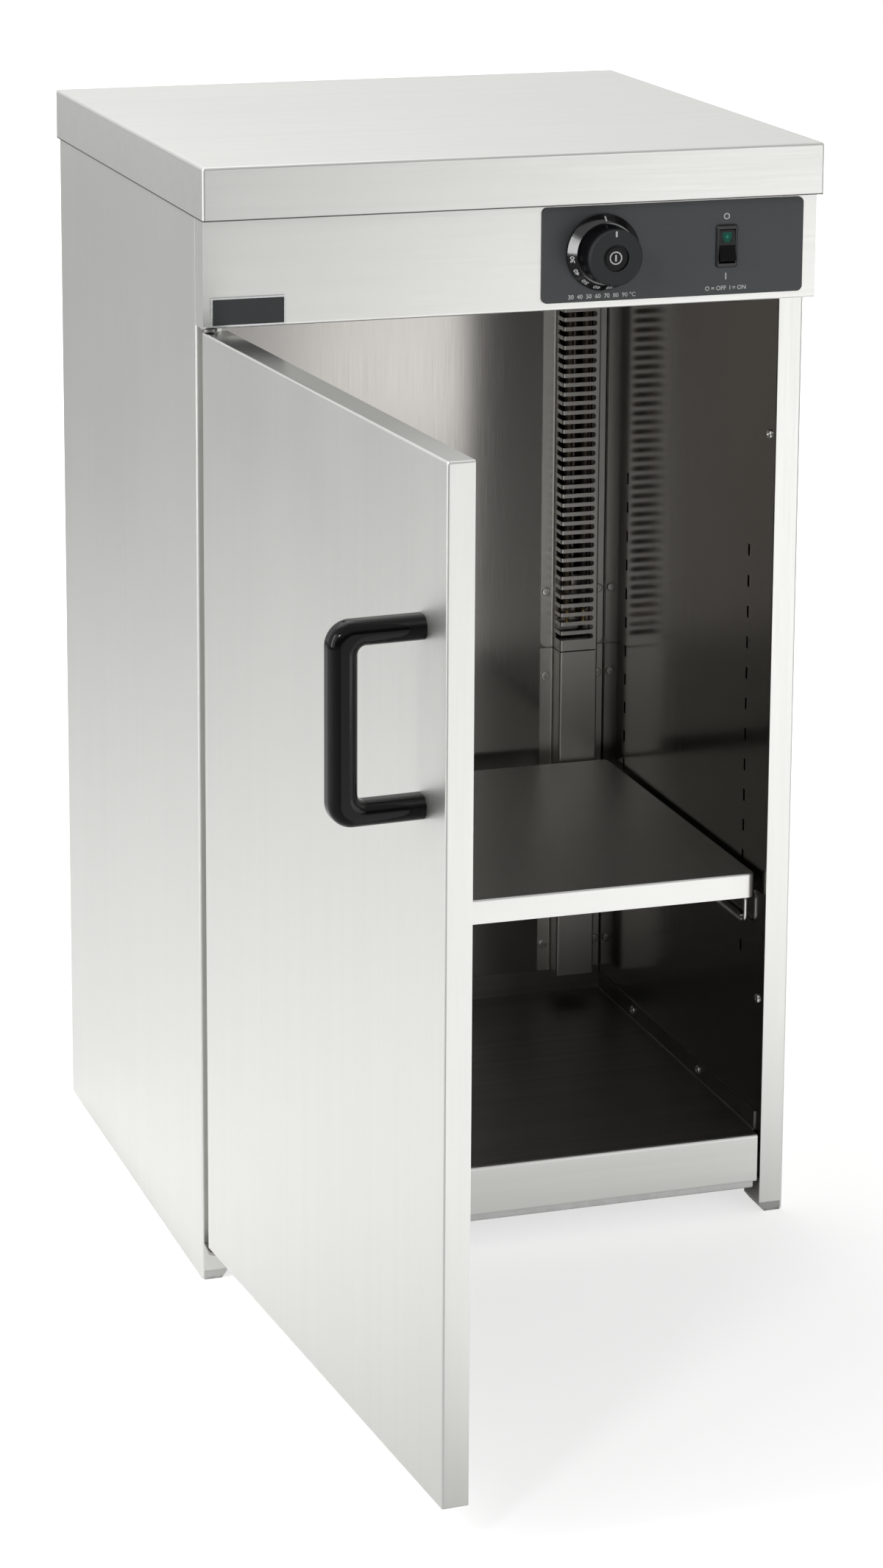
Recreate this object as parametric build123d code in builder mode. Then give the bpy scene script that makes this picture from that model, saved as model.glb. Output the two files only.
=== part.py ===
"""Plate warmer cabinet.

A free-standing, double-walled cabinet of folded stainless sheet that keeps plates hot. Its one door
hangs on two pins at the left, a box fascia over the door carries the thermostat dial and the rocker
switch, and a slotted duct in the back right corner lets the heat of a hairpin element into the cavity.
One loose shelf hangs on bent-wire supports that hook into slots in the side walls.

Sizes are in millimetres. X runs to the right as seen from the front, Y towards the back and Z up.
The origin lies on the floor under the middle of the body. The door is modelled shut and then swung
open about its pins, which is how the cabinet stands at rest.
"""

import os
from math import asin, degrees

from build123d import *

os.makedirs("parts", exist_ok=True)

# ---- Driving dimensions -------------------------------------------------------------------------

# Body
width = 450.0  # over the side panels
depth = 402.0  # from the front of the posts to the back flanges
height = 810.0  # from the floor to the top of the lid
sheet = 1.0  # thickness of the steel sheet
bend = 2.0  # outside radius of a fold
flange = 12.0  # fold of a panel or liner behind its neighbour
fit = 0.1  # gap between nested parts
running_gap = 0.3  # gap between parts that move past each other
pin_clearance = 0.05  # gap round a turning pin

# Walls, floor and feet
wall = 18.5  # side wall, from the outer face to the inner face
rear_wall = 51.0  # back wall, from the back flanges to the inner face
rear_liner_gap = 3.0  # from the side panels to the back liner
floor_top = 61.0
rail_bottom = 24.0
rail_inset = 2.5  # from the inner wall to the end of the front rail
rail_lip = 12.0  # fold under the front rail
pan_screw_setbacks = (125.0, 268.0)  # screws of the pan's side edges, behind the post front
side_upstand = 14.0  # edge of the base pan up the side walls
rear_upstand = 19.0  # edge of the base pan up the back wall
cover_drop = 5.5  # bottom cover below the front rail
cover_inset = 4.8  # from the inner wall to the bottom cover
cover_setback = 2.0
panel_lift = 1.0  # bottom edge of the side panels above the floor
foot_height = 7.0
foot_length = 30.0
foot_plug = 11.0  # part of a foot that stands up inside the wall
foot_chamfer = (4.0, 5.0)

# Lid
lid_drop = 37.0
lid_side = 2.0  # lid past the side panels
lid_front = 28.0  # lid past the posts
lid_back = 2.0

# Fascia and control plate
fascia_height = 75.0  # part of the fascia below the lid
fascia_depth = 20.0
plate_size = (196.0, 67.5)
plate_thickness = 1.2
plate_radius = 4.0
plate_right = 10.5  # from the plate to the right side of the body
plate_gap = 2.0  # from the plate to the lid
control_rise = 1.0  # dial and switch above the middle of the plate

# Thermostat and dial
dial_inset = 44.7  # dial axis from the left edge of the plate
dial_diameter = 54.0
dial_rim = 3.0  # straight rim of the dial skirt
dial_height = 9.0
dial_top_diameter = 44.0
dial_wall = 2.0
cap_diameter = 42.0
cap_front_diameter = 40.0
cap_front = 28.0  # front of the cap from the plate
cap_edge = 1.5
cap_recess = (9.5, 7.5, 1.6)  # outer and inner radius and depth of the ring in the cap
cap_hub_radius = 6.0
shaft_diameter = 6.0
shaft_flat = 4.6  # over the flat of the shaft
shaft_hole = 9.0
shaft_cover = 6.0  # cap in front of the shaft
cap_hub_gap = 3.0  # from the control plate to the hub of the cap
thermostat_size = (46.0, 28.0, 36.0)
thermostat_screw_spacing = 28.0
dial_gap = 0.6  # from the dial skirt to the plate

# Rocker switch
switch_inset = 58.3  # switch axis from the right edge of the plate
bezel_size = (16.0, 30.6)
bezel_thickness = 2.0
switch_body = (13.4, 28.0, 22.0)
rocker_size = (12.0, 24.0)
rocker_gap = 0.25
rocker_face = (4.6, 5.8)  # from the pivot to the face, in the middle and at the ends
rocker_pivot = (1.5, 0.6)  # radius and length of a pivot stub
rocker_tilt = 10.0
lens_size = (7.0, 7.0, 0.8)
lens_height = 5.6  # middle of the lens above the pivot
tab_size = (0.8, 8.0, 6.3)
tab_spacing = 8.0

# Door and hinges
door_thickness = 18.0
door_gap = 2.0  # between the door and the posts
door_side_gap = 1.5  # door in from the sides of the body
door_top_gap = 3.0
door_bottom = 29.0
door_open = 86.2  # angle of the door as it stands at rest
skin_depth = 9.0  # depth of the door's inner tray
door_filling = (20.0, 21.0)  # filling in from the edges of the door, sideways and up
hinge_inset = 4.0  # pin axis from the door's edge and from its outer face
hinge_plate = 2.0
hinge_gap = 0.6  # between the lower hinge plate and the door
hinge_nose = 5.0
hinge_leg = 34.0
hinge_width = 14.0  # width of a hinge plate where it meets the post
pin_diameter = 4.0
pin_length = 18.0  # part of a pin inside the door
pin_chamfer = 0.5
bush_size = (13.0, 20.0)
collar_radius = 2.8
door_corner = 1.5  # outside radius of the door's edges

# Handle
handle_inset = 40.0  # from the free edge of the door
handle_middle = 530.0  # height of its middle
handle_span = 112.5  # between the arms
handle_reach = 52.0  # from the door to the axis of the grip
grip_diameter = 19.0
arm_height = 16.0
handle_outer_corner = 16.0
handle_inner_corner = 5.0
handle_rounding = 7.4

# Magnetic catches
catch_drop = 102.0  # upper catch below the top of the door
catch_rise = 135.0  # lower catch above the bottom of the door
catch_setback = 12.0  # catch screws behind the post front
catch_size = (11.0, 18.0, 40.0)
strike_size = (12.0, 1.5, 44.0)

# Shelf and its supports
slot_size = (3.4, 9.0)
slot_top = 499.0
slot_pitch = 23.4
slot_rows = 14
slot_front = 47.0  # slot columns behind the post front
slot_back = 300.0
free_rows = 1  # rows of slots left free below the supports
wire = 3.0
hook_wire = 2.8
wire_corner = 6.0
wire_to_wall = 4.0  # wire axis from the inner wall
wire_overhang = (17.0, 18.0)  # wire past the front and back slots
hook_drop = 6.0
shelf_lip = 18.5
shelf_corner = 6.0
shelf_setback = 12.0
shelf_to_duct = 4.0
shelf_to_wall = 3.5

# Heater duct
duct_inset = 19.7  # right edge of the duct from the right side of the body
duct_width = 52.9
duct_flange = 10.6
duct_depth = 18.5
duct_bottom = 353.0
duct_corner = 6.0
duct_bend = 1.6
duct_top_gap = 3.0
vent_height = 4.4
vent_pitch = 7.5
vent_first = 11.0  # lowest slot above the bottom of the duct
vent_count = 44
vent_right = 3.8  # slots end this far from the right corner of the duct
vent_back = 5.0  # slots end this far from the back wall
element_diameter = 6.5
element_spacing = 14.0
element_bottom = 32.0  # ends of the element above the bottom of the duct
element_top = 14.0
element_bracket = (26.0, 13.0, 1.2)
terminal_radius = 1.6
terminal_length = 12.0
guard_screw_inset = 46.0  # screws of the slotted duct from its ends
guard_screw_share = 0.6  # place of the duct screws across the flanges

# Sensor
bulb_diameter = 6.0
bulb_length = 80.0
bulb_drop = 8.0
bulb_back = 14.0
capillary = 1.6
capillary_bend = 10.0
clip_width = 8.0
lead_hole = 5.0  # radius of the holes for the leads in the ceiling

# Filling, control compartment and rear panel
side_filling = 9.0
filling_front = 22.0
top_filling = 12.0  # thickness of the filling on the ceiling
top_filling_front = 8.0  # from the posts to that filling
top_filling_back = 102.0  # from that filling to the back
terminal_block_size = (34.0, 20.0, 16.0)
terminal_block_inset = (52.0, 50.0)  # from the left side and the back of the body
cutout_radius = 8.0
cutout_height = 9.0
gland_inset = 60.0  # gland axis from the left side of the body
gland_drop = 28.0  # gland axis below the lid
gland_bore = 4.5
gland_thread = 8.0
gland_flats = 22.0
gland_hex = 4.0
gland_cap = 9.0
gland_stem = 12.0
earth_inset = 100.0
earth_radius = 2.5
earth_length = 18.0

# Screws: shank radius, length, head radius, head height
panel_screw = (1.9, 6.0, 3.6, 2.2)
liner_screw = (1.9, 6.0, 3.6, 1.6)
dial_screw = (2.0, 8.0, 3.4, 1.8)
handle_fixing = (2.5, 24.0, 4.5, 3.2)
back_screw_margin = 45.0  # lowest back screw above the floor and highest one below the lid
back_screw_rows = 4

# ---- Levels and faces that follow from them -----------------------------------------------------

left = -width / 2
right = width / 2
front = -depth / 2
back = depth / 2
inner_left = left + wall
inner_right = right - wall
cavity_back = back - rear_wall
inside_front = front + sheet  # behind the posts
panel_back = back - sheet  # inside the back flanges

lid_bottom = height - lid_drop
top_seat = height - sheet  # underside of the lid
fascia_bottom = lid_bottom - fascia_height
fascia_face = front - fascia_depth
fascia_seat = fascia_face - plate_thickness
ceiling_bottom = fascia_bottom + sheet
ceiling_top = ceiling_bottom + sheet
cover_bottom = rail_bottom - cover_drop

door_top = fascia_bottom - door_top_gap
door_back = front - door_gap
door_front = door_back - door_thickness
door_left = left + door_side_gap
door_right = right - door_side_gap
hinge_x = door_left + hinge_inset
hinge_y = door_front + hinge_inset
catch_levels = (door_top - catch_drop, door_bottom + catch_rise)

plate_x = right - plate_right - plate_size[0] / 2
plate_z = lid_bottom - plate_gap - plate_size[1] / 2
control_z = plate_z + control_rise
dial_x = plate_x - plate_size[0] / 2 + dial_inset
switch_x = plate_x + plate_size[0] / 2 - switch_inset

slot_levels = [slot_top - slot_pitch * row for row in range(slot_rows)]
slot_columns = (front + slot_front, front + slot_back)
lower_wire = slot_levels[-1 - free_rows]
upper_wire = slot_levels[-2 - free_rows]
shelf_bottom = upper_wire + wire / 2 + running_gap
shelf_top = shelf_bottom + shelf_lip

duct_front = cavity_back - duct_depth
duct_side_right = right - duct_inset - duct_flange
duct_side_left = duct_side_right - duct_width + 2 * duct_flange
duct_middle = (duct_side_left + duct_side_right) / 2
duct_top = ceiling_bottom - duct_top_gap
element_y = cavity_back - (duct_depth - sheet) / 2


# ---- Shared shapes ------------------------------------------------------------------------------


def folded(points, plane, thickness=sheet, radius=bend):
    """Section of a folded sheet: one face follows the points and the sheet lies to their left."""
    with BuildSketch(plane) as section:
        with BuildLine():
            FilletPolyline(*points, radius=radius)
            offset(amount=thickness, side=Side.LEFT)
        make_face()
    return section.sketch


def block(x, y, z, mode=Mode.ADD):
    """Box that fills three spans, each given as (from, to)."""
    spans = (x, y, z)
    with Locations(tuple((start + end) / 2 for start, end in spans)):
        return Box(*(end - start for start, end in spans), mode=mode)


def facing_front(y):
    """Plane at depth y that looks at the front: its x runs right, its y up."""
    return Plane.XZ.offset(-y)


def turned(shank_radius, length, head_radius, head_height):
    """Domed screw along Z: its head stands on Z = 0 and its shank goes down from there."""
    rim = head_height / 3
    dome_radius = (head_radius**2 + (head_height - rim) ** 2) / (2 * (head_height - rim))
    dome_angle = degrees(asin(head_radius / dome_radius))
    with BuildPart() as screw:
        with BuildSketch(Plane.XZ):
            with BuildLine():
                Polyline(
                    (0, head_height),
                    (0, -length),
                    (shank_radius, -length),
                    (shank_radius, 0),
                    (head_radius, 0),
                    (head_radius, rim),
                )
                CenterArc((0, head_height - dome_radius), dome_radius, 90 - dome_angle, dome_angle)
            make_face()
        revolve(axis=Axis.Z)
    return screw.part


def round_bar(points, diameter, radius, closed=False):
    """Round bar bent along the points, and back to the first one if it is closed."""
    with BuildPart() as bar:
        with BuildLine() as path:
            FilletPolyline(*points, radius=radius, close=closed)
        with BuildSketch(Plane(path.wire() @ 0, z_dir=path.wire() % 0)):
            Circle(diameter / 2)
        sweep()
    return bar.part


# ---- Side panels and feet -----------------------------------------------------------------------

# Each side panel is one sheet: the post in front, the side, a back flange, and a top flange under
# the lid. The post and the back flange stop above the feet.
back_screw_x = right - wall / 2
back_screw_step = (lid_bottom - 2 * back_screw_margin) / (back_screw_rows - 1)
back_screw_levels = [back_screw_margin + back_screw_step * row for row in range(back_screw_rows)]
lid_screw_level = lid_bottom + lid_drop / 2


def at_the_back(levels, y=back):
    """Places of back screws, at both edges of the body, with Z out of the back."""
    return Locations(
        *[
            Location((side * back_screw_x, y, level), (-90, 0, 0))
            for side in (-1, 1)
            for level in levels
        ]
    )


panel_section = (
    (left + wall, back),
    (left, back),
    (left, front),
    (left + wall, front),
)
with BuildPart() as panel_blank:
    extrude(folded(panel_section, Plane.XY.offset(panel_lift)), amount=top_seat - panel_lift)
    block(
        (left + sheet / 2, left + flange),
        (front + wall, back - wall),
        (top_seat - sheet, top_seat),
    )
    for edge in (front, back - sheet):
        block(
            (left + bend, inner_left),
            (edge - fit, edge + sheet + fit),
            (panel_lift, foot_height),
            mode=Mode.SUBTRACT,
        )
    with at_the_back([*back_screw_levels, lid_screw_level]):
        Cylinder(panel_screw[0] + fit, 4 * sheet, mode=Mode.SUBTRACT)

# The hinge plates pass through two slots in the left post.
plate_from = left + bend
plate_to = plate_from + hinge_width
lower_plate = door_bottom - hinge_gap - hinge_plate
upper_plate = fascia_bottom - hinge_plate
with BuildPart() as side_panel_left:
    add(panel_blank.part)
    for plate_bottom in (lower_plate, upper_plate):
        block(
            (plate_from - fit, plate_to + fit),
            (front - sheet, front + 2 * sheet),
            (plate_bottom - fit, plate_bottom + hinge_plate + fit),
            mode=Mode.SUBTRACT,
        )

with BuildPart() as side_panel_right:
    mirror(panel_blank.part, about=Plane.YZ)

# A foot is a glide pad under the post with a plug that stands up inside the wall.
with BuildPart() as front_foot:
    block((left + bend + fit, inner_left), (front, front + foot_length), (0, foot_height))
    pad_edge = front_foot.edges().filter_by(Axis.Y).group_by(Axis.Z)[0].sort_by(Axis.X)[-1]
    chamfer(pad_edge, length=foot_chamfer[1], length2=foot_chamfer[0])
    block(
        (left + sheet, inner_left - sheet),
        (front + 4 * sheet, front + foot_length),
        (foot_height, foot_height + foot_plug),
    )
with BuildPart() as left_feet:
    add(front_foot.part)
    mirror(front_foot.part, about=Plane.XZ)
with BuildPart() as foot_glides:
    add(left_feet.part)
    mirror(left_feet.part, about=Plane.YZ)

# ---- Inner walls --------------------------------------------------------------------------------

# The side liners carry two columns of slots for the shelf supports. Their front flange is cut away
# at both ends for the legs of the hinge plates, and a bottom flange closes the wall between the feet.
pan_screw_level = floor_top + side_upstand / 2
pan_screw_places = [(front + setback, pan_screw_level) for setback in pan_screw_setbacks]
liner_section = (
    (inner_left - flange, inside_front),
    (inner_left, inside_front),
    (inner_left, cavity_back),
    (inner_left - flange, cavity_back),
)
with BuildPart() as liner_left:
    extrude(
        folded(liner_section, Plane.XY.offset(foot_height), radius=duct_bend),
        amount=ceiling_bottom - foot_height,
    )
    for cut_from, cut_to in (
        (foot_height, lower_plate + hinge_leg + 2 * sheet),
        (upper_plate - 2 * sheet, ceiling_bottom),
    ):
        block(
            (inner_left - flange - sheet, inner_left - duct_bend),
            (inside_front - fit, inside_front + sheet + fit),
            (cut_from, cut_to),
            mode=Mode.SUBTRACT,
        )
    block(
        (left + sheet + fit, inner_left - sheet / 2),
        (front + foot_length + fit, cavity_back - sheet / 2),
        (foot_height, foot_height + sheet),
    )
    with BuildSketch(Plane.YZ.offset(inner_left - 2 * sheet)):
        with Locations(*[(column, level) for column in slot_columns for level in slot_levels]):
            Rectangle(*slot_size)
        with Locations(*pan_screw_places):
            Circle(liner_screw[0] + fit)
    extrude(amount=3 * sheet, mode=Mode.SUBTRACT)

catch_screw_y = front + catch_setback
with BuildPart() as liner_right:
    mirror(liner_left.part, about=Plane.YZ)
    with BuildSketch(Plane.YZ.offset(inner_right - sheet)):
        with Locations(*[(catch_screw_y, level) for level in catch_levels]):
            Circle(liner_screw[0] + fit)
    extrude(amount=3 * sheet, mode=Mode.SUBTRACT)

# The back liner stands across the back edges of the side liners.
rear_edge = left + sheet + rear_liner_gap
rear_section = (
    (rear_edge, cavity_back + flange),
    (rear_edge, cavity_back),
    (-rear_edge, cavity_back),
    (-rear_edge, cavity_back + flange),
)
guard_screw_levels = (duct_bottom + guard_screw_inset, duct_top - guard_screw_inset)
lower_duct_bottom = floor_top + rear_upstand + fit
lower_duct_top = duct_bottom - sheet
lower_screw_levels = (
    lower_duct_bottom + guard_screw_inset / 2,
    lower_duct_top - guard_screw_inset / 2,
)
duct_screw_columns = (
    duct_side_left - duct_flange * guard_screw_share,
    duct_side_right + duct_flange * guard_screw_share,
)
duct_screw_places = [
    (column, level)
    for column in duct_screw_columns
    for level in (*lower_screw_levels, *guard_screw_levels)
]


def duct_screw_holes(levels):
    """Cut the holes of the duct's screws at some levels, through the flanges and the liner."""
    with BuildSketch(facing_front(cavity_back + 2 * sheet)) as holes:
        with Locations(*[(column, level) for column in duct_screw_columns for level in levels]):
            Circle(liner_screw[0] + fit)
    extrude(holes.sketch, amount=4 * sheet, mode=Mode.SUBTRACT)


with BuildPart() as liner_rear:
    extrude(
        folded(rear_section, Plane.XY.offset(cover_bottom)),
        amount=ceiling_bottom - cover_bottom,
    )
    duct_screw_holes((*lower_screw_levels, *guard_screw_levels))

# ---- Base ---------------------------------------------------------------------------------------

# The base pan is the floor of the cavity. It turns down at the front as the rail between the posts
# and up along the other three walls.
tray_section = (
    (inner_left, floor_top + side_upstand),
    (inner_left, floor_top - sheet),
    (inner_right, floor_top - sheet),
    (inner_right, floor_top + side_upstand),
)
rail_section = (
    (front + 2 * rail_lip, floor_top),
    (front, floor_top),
    (front, rail_bottom),
    (front + rail_lip, rail_bottom),
)
tray_front = front + rail_lip
with BuildPart() as base_pan:
    extrude(folded(tray_section, facing_front(cavity_back)), amount=cavity_back - tray_front)
    extrude(
        folded(rail_section, Plane.YZ.offset(inner_left + rail_inset)),
        amount=inner_right - inner_left - 2 * rail_inset,
    )
    block(
        (inner_left + sheet / 2, inner_right - sheet / 2),
        (cavity_back - sheet, cavity_back),
        (floor_top - sheet / 2, floor_top + rear_upstand),
    )
    with BuildSketch(Plane.YZ.offset(left)):
        with Locations(*pan_screw_places):
            Circle(liner_screw[0] + fit)
    extrude(amount=width, mode=Mode.SUBTRACT)

pan_screw = turned(*liner_screw)
with BuildPart() as pan_screws:
    with Locations(
        *[
            Location((side * (inner_right - sheet), y, z), (0, -90 * side, 0))
            for side in (-1, 1)
            for y, z in pan_screw_places
        ]
    ):
        add(pan_screw)

# The bottom cover is a tray of filling under the floor. Its front edge shows below the rail.
cover_edge = inner_left + cover_inset
cover_front = front + cover_setback
cover_back = cavity_back - cover_setback
cover_room = front + rail_lip + cover_setback
with BuildPart() as bottom_cover:
    block((cover_edge, -cover_edge), (cover_front, cover_back), (cover_bottom, floor_top - sheet))
    fillet(bottom_cover.edges().group_by(Axis.Z)[0], radius=bend)
    offset(amount=-sheet, openings=bottom_cover.faces().sort_by(Axis.Z)[-1])
    block(
        (left, right),
        (front, cover_room),
        (rail_bottom, floor_top),
        mode=Mode.SUBTRACT,
    )

with BuildPart() as floor_insulation:
    block(
        (cover_edge + bend, -cover_edge - bend),
        (cover_room + fit, cover_back - bend),
        (cover_bottom + sheet, floor_top - sheet),
    )

# ---- Filling of the walls -----------------------------------------------------------------------

with BuildPart() as side_insulation:
    for edge in (left + sheet, right - sheet - side_filling):
        block(
            (edge, edge + side_filling),
            (front + filling_front, cavity_back - sheet),
            (foot_height + foot_plug, ceiling_bottom),
        )

with BuildPart() as rear_insulation:
    block(
        (inner_left, inner_right),
        (cavity_back + sheet + liner_screw[1], panel_back - sheet),
        (cover_bottom + sheet, ceiling_bottom),
    )

# ---- Ceiling ------------------------------------------------------------------------------------

# The ceiling lies on the liners and runs forward between the posts onto the fascia.
ceiling_section = (
    (left + sheet, ceiling_bottom + side_upstand),
    (left + sheet, ceiling_bottom),
    (right - sheet, ceiling_bottom),
    (right - sheet, ceiling_bottom + side_upstand),
)
ceiling_front = front + 2 * sheet + hinge_plate
bulb_y = cavity_back - bulb_back
with BuildPart() as ceiling:
    extrude(
        folded(ceiling_section, facing_front(panel_back - sheet)),
        amount=panel_back - sheet - ceiling_front,
    )
    block(
        (inner_left + fit, inner_right - fit),
        (fascia_face + sheet + bend, ceiling_front + bend),
        (ceiling_bottom, ceiling_top),
    )
    with Locations((dial_x, bulb_y, ceiling_top), (duct_middle, element_y, ceiling_top)):
        Hole(radius=lead_hole, depth=2 * sheet)

with BuildPart() as ceiling_insulation:
    block(
        (left + sheet + bend, right - sheet - bend),
        (front + top_filling_front, back - top_filling_back),
        (ceiling_top, ceiling_top + top_filling),
    )

# ---- Rear panel ---------------------------------------------------------------------------------

# The rear panel closes the back and, with a flange at its foot, the bottom of the back wall.
gland_x = left + gland_inset
gland_level = lid_bottom - gland_drop
earth_x = left + earth_inset
with BuildPart() as rear_panel:
    block(
        (left + bend, right - bend),
        (panel_back - sheet, panel_back),
        (cover_bottom, top_seat - sheet),
    )
    block(
        (inner_left, inner_right),
        (cavity_back + sheet + fit, panel_back - sheet / 2),
        (cover_bottom, cover_bottom + sheet),
    )
    with BuildSketch(facing_front(panel_back + sheet)):
        with Locations((gland_x, gland_level)):
            Circle(gland_thread)
    extrude(amount=3 * sheet, mode=Mode.SUBTRACT)
    with at_the_back([*back_screw_levels, lid_screw_level]):
        Cylinder(panel_screw[0] + fit, 4 * sheet, mode=Mode.SUBTRACT)

back_screw = turned(*panel_screw)
with BuildPart() as rear_panel_screws:
    with at_the_back(back_screw_levels):
        add(back_screw)

# ---- Cord gland and earth stud ------------------------------------------------------------------


def gland_disc(y, radius, length, mode=Mode.ADD):
    """Round length of the gland that runs backwards from y."""
    with BuildSketch(facing_front(y)) as disc:
        with Locations((gland_x, gland_level)):
            Circle(radius)
    extrude(disc.sketch, amount=-length, mode=mode)


with BuildPart() as cable_gland:
    with BuildSketch(facing_front(panel_back)):
        with Locations((gland_x, gland_level)):
            RegularPolygon(gland_flats / 2, 6, major_radius=False)
    extrude(amount=-gland_hex)
    gland_disc(panel_back + gland_hex, gland_thread + sheet, gland_cap)
    fillet(cable_gland.edges().group_by(Axis.Y)[-1], radius=gland_cap / 3)
    gland_disc(panel_back - gland_stem, gland_thread - fit, gland_stem)
    gland_disc(
        panel_back - gland_stem - sheet,
        gland_bore,
        gland_stem + gland_hex + gland_cap + 2 * sheet,
        mode=Mode.SUBTRACT,
    )

with BuildPart() as gland_nut:
    with BuildSketch(facing_front(panel_back - sheet)):
        with Locations((gland_x, gland_level)):
            RegularPolygon(gland_flats / 2, 6, major_radius=False)
            Circle(gland_thread, mode=Mode.SUBTRACT)
    extrude(amount=gland_hex)

with BuildPart() as earth_stud:
    with BuildSketch(facing_front(panel_back - sheet)):
        with Locations((earth_x, gland_level)):
            Circle(earth_radius + 3 * sheet)
    extrude(amount=sheet)
    with BuildSketch(facing_front(panel_back - 2 * sheet)):
        with Locations((earth_x, gland_level)):
            RegularPolygon(earth_radius + 1.5 * sheet, 6, major_radius=False)
    extrude(amount=gland_hex)
    with BuildSketch(facing_front(panel_back - sheet)):
        with Locations((earth_x, gland_level)):
            Circle(earth_radius)
    extrude(amount=earth_length)

# ---- Lid ----------------------------------------------------------------------------------------

with BuildPart() as lid:
    block(
        (left - lid_side, right + lid_side),
        (front - lid_front, back + lid_back),
        (lid_bottom, height),
    )
    fillet(lid.edges().filter_by(Axis.Z) + lid.edges().group_by(Axis.Z)[-1], radius=bend)
    offset(amount=-sheet, openings=lid.faces().sort_by(Axis.Z)[0])
    with at_the_back([lid_screw_level], y=back + lid_back):
        Cylinder(panel_screw[0] + fit, 4 * sheet, mode=Mode.SUBTRACT)

with BuildPart() as lid_screws:
    with at_the_back([lid_screw_level], y=back + lid_back):
        add(back_screw)

# ---- Fascia and control plate -------------------------------------------------------------------

dial_screw_places = [
    (dial_x + side * thermostat_screw_spacing / 2, control_z) for side in (-1, 1)
]


def cut_for_controls(y, thickness):
    """Cut the holes of the dial's shaft, its two screws and the switch forward from y."""
    with BuildSketch(facing_front(y)) as holes:
        with Locations((dial_x, control_z)):
            Circle(shaft_hole / 2)
        with Locations(*dial_screw_places):
            Circle(dial_screw[0] + fit)
        with Locations((switch_x, control_z)):
            Rectangle(switch_body[0] + 2 * fit, switch_body[1] + 2 * fit)
    extrude(holes.sketch, amount=thickness, mode=Mode.SUBTRACT)


with BuildPart() as fascia:
    block((left, right), (fascia_face, front), (fascia_bottom, top_seat))
    fillet(fascia.edges().filter_by(Axis.X).group_by(Axis.Y)[0], radius=bend)
    offset(amount=-sheet, openings=fascia.faces().sort_by(Axis.Y)[-1])
    cut_for_controls(fascia_face + 2 * sheet, 3 * sheet)

with BuildPart() as control_plate:
    with BuildSketch(facing_front(fascia_face)):
        with Locations((plate_x, plate_z)):
            RectangleRounded(*plate_size, plate_radius)
    extrude(amount=plate_thickness)
    cut_for_controls(fascia_face, plate_thickness)

# ---- Thermostat, shaft and dial -----------------------------------------------------------------

thermostat_front = fascia_face + sheet
thermostat_back = thermostat_front + thermostat_size[1]
shaft_end = thermostat_front + thermostat_size[1] / 2
shaft_tip = fascia_seat - cap_front + shaft_cover
flat_level = control_z - shaft_diameter / 2 + shaft_flat

with BuildPart() as thermostat_body:
    block(
        (dial_x - thermostat_size[0] / 2, dial_x + thermostat_size[0] / 2),
        (thermostat_front, thermostat_back),
        (control_z - thermostat_size[2] / 2, control_z + thermostat_size[2] / 2),
    )
    fillet(thermostat_body.edges().filter_by(Axis.Y), radius=bend)
    with BuildSketch(facing_front(shaft_end + fit)):
        with Locations((dial_x, control_z)):
            Circle(shaft_diameter / 2 + pin_clearance)
    extrude(amount=thermostat_size[1], mode=Mode.SUBTRACT)
    with BuildSketch(facing_front(thermostat_front + dial_screw[1])):
        with Locations(*dial_screw_places):
            Circle(dial_screw[0] + fit)
    extrude(amount=thermostat_size[1], mode=Mode.SUBTRACT)

plate_screw = turned(*dial_screw)
with BuildPart() as thermostat_screws:
    with Locations(*[Location((x, fascia_seat, z), (90, 0, 0)) for x, z in dial_screw_places]):
        add(plate_screw)

# The shaft has a flat that drives the cap.
with BuildPart() as thermostat_shaft:
    with BuildSketch(facing_front(shaft_end)):
        with Locations((dial_x, control_z)):
            Circle(shaft_diameter / 2)
    extrude(amount=shaft_end - shaft_tip)
    block(
        (dial_x - shaft_diameter, dial_x + shaft_diameter),
        (shaft_tip - sheet, fascia_seat),
        (flat_level, flat_level + shaft_diameter),
        mode=Mode.SUBTRACT,
    )

# The dial's profiles have x as the radius and y as the distance out from the control plate.
dial_plane = Plane(origin=(dial_x, fascia_seat, control_z), x_dir=(1, 0, 0), z_dir=(0, 0, -1))
dial_axis = Axis((dial_x, fascia_seat, control_z), (0, -1, 0))
with BuildPart() as knob_skirt:
    with BuildSketch(dial_plane):
        with BuildLine():
            Polyline(
                (dial_diameter / 2, dial_gap),
                (dial_diameter / 2, dial_rim),
                (dial_top_diameter / 2, dial_height),
                (cap_hub_radius + fit, dial_height),
                (cap_hub_radius + fit, dial_height - dial_wall),
                (dial_top_diameter / 2 - dial_wall, dial_height - dial_wall),
                (dial_diameter / 2 - dial_wall, dial_rim - dial_wall / 2),
                (dial_diameter / 2 - dial_wall, dial_gap),
                close=True,
            )
        make_face()
    revolve(axis=dial_axis)

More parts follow.
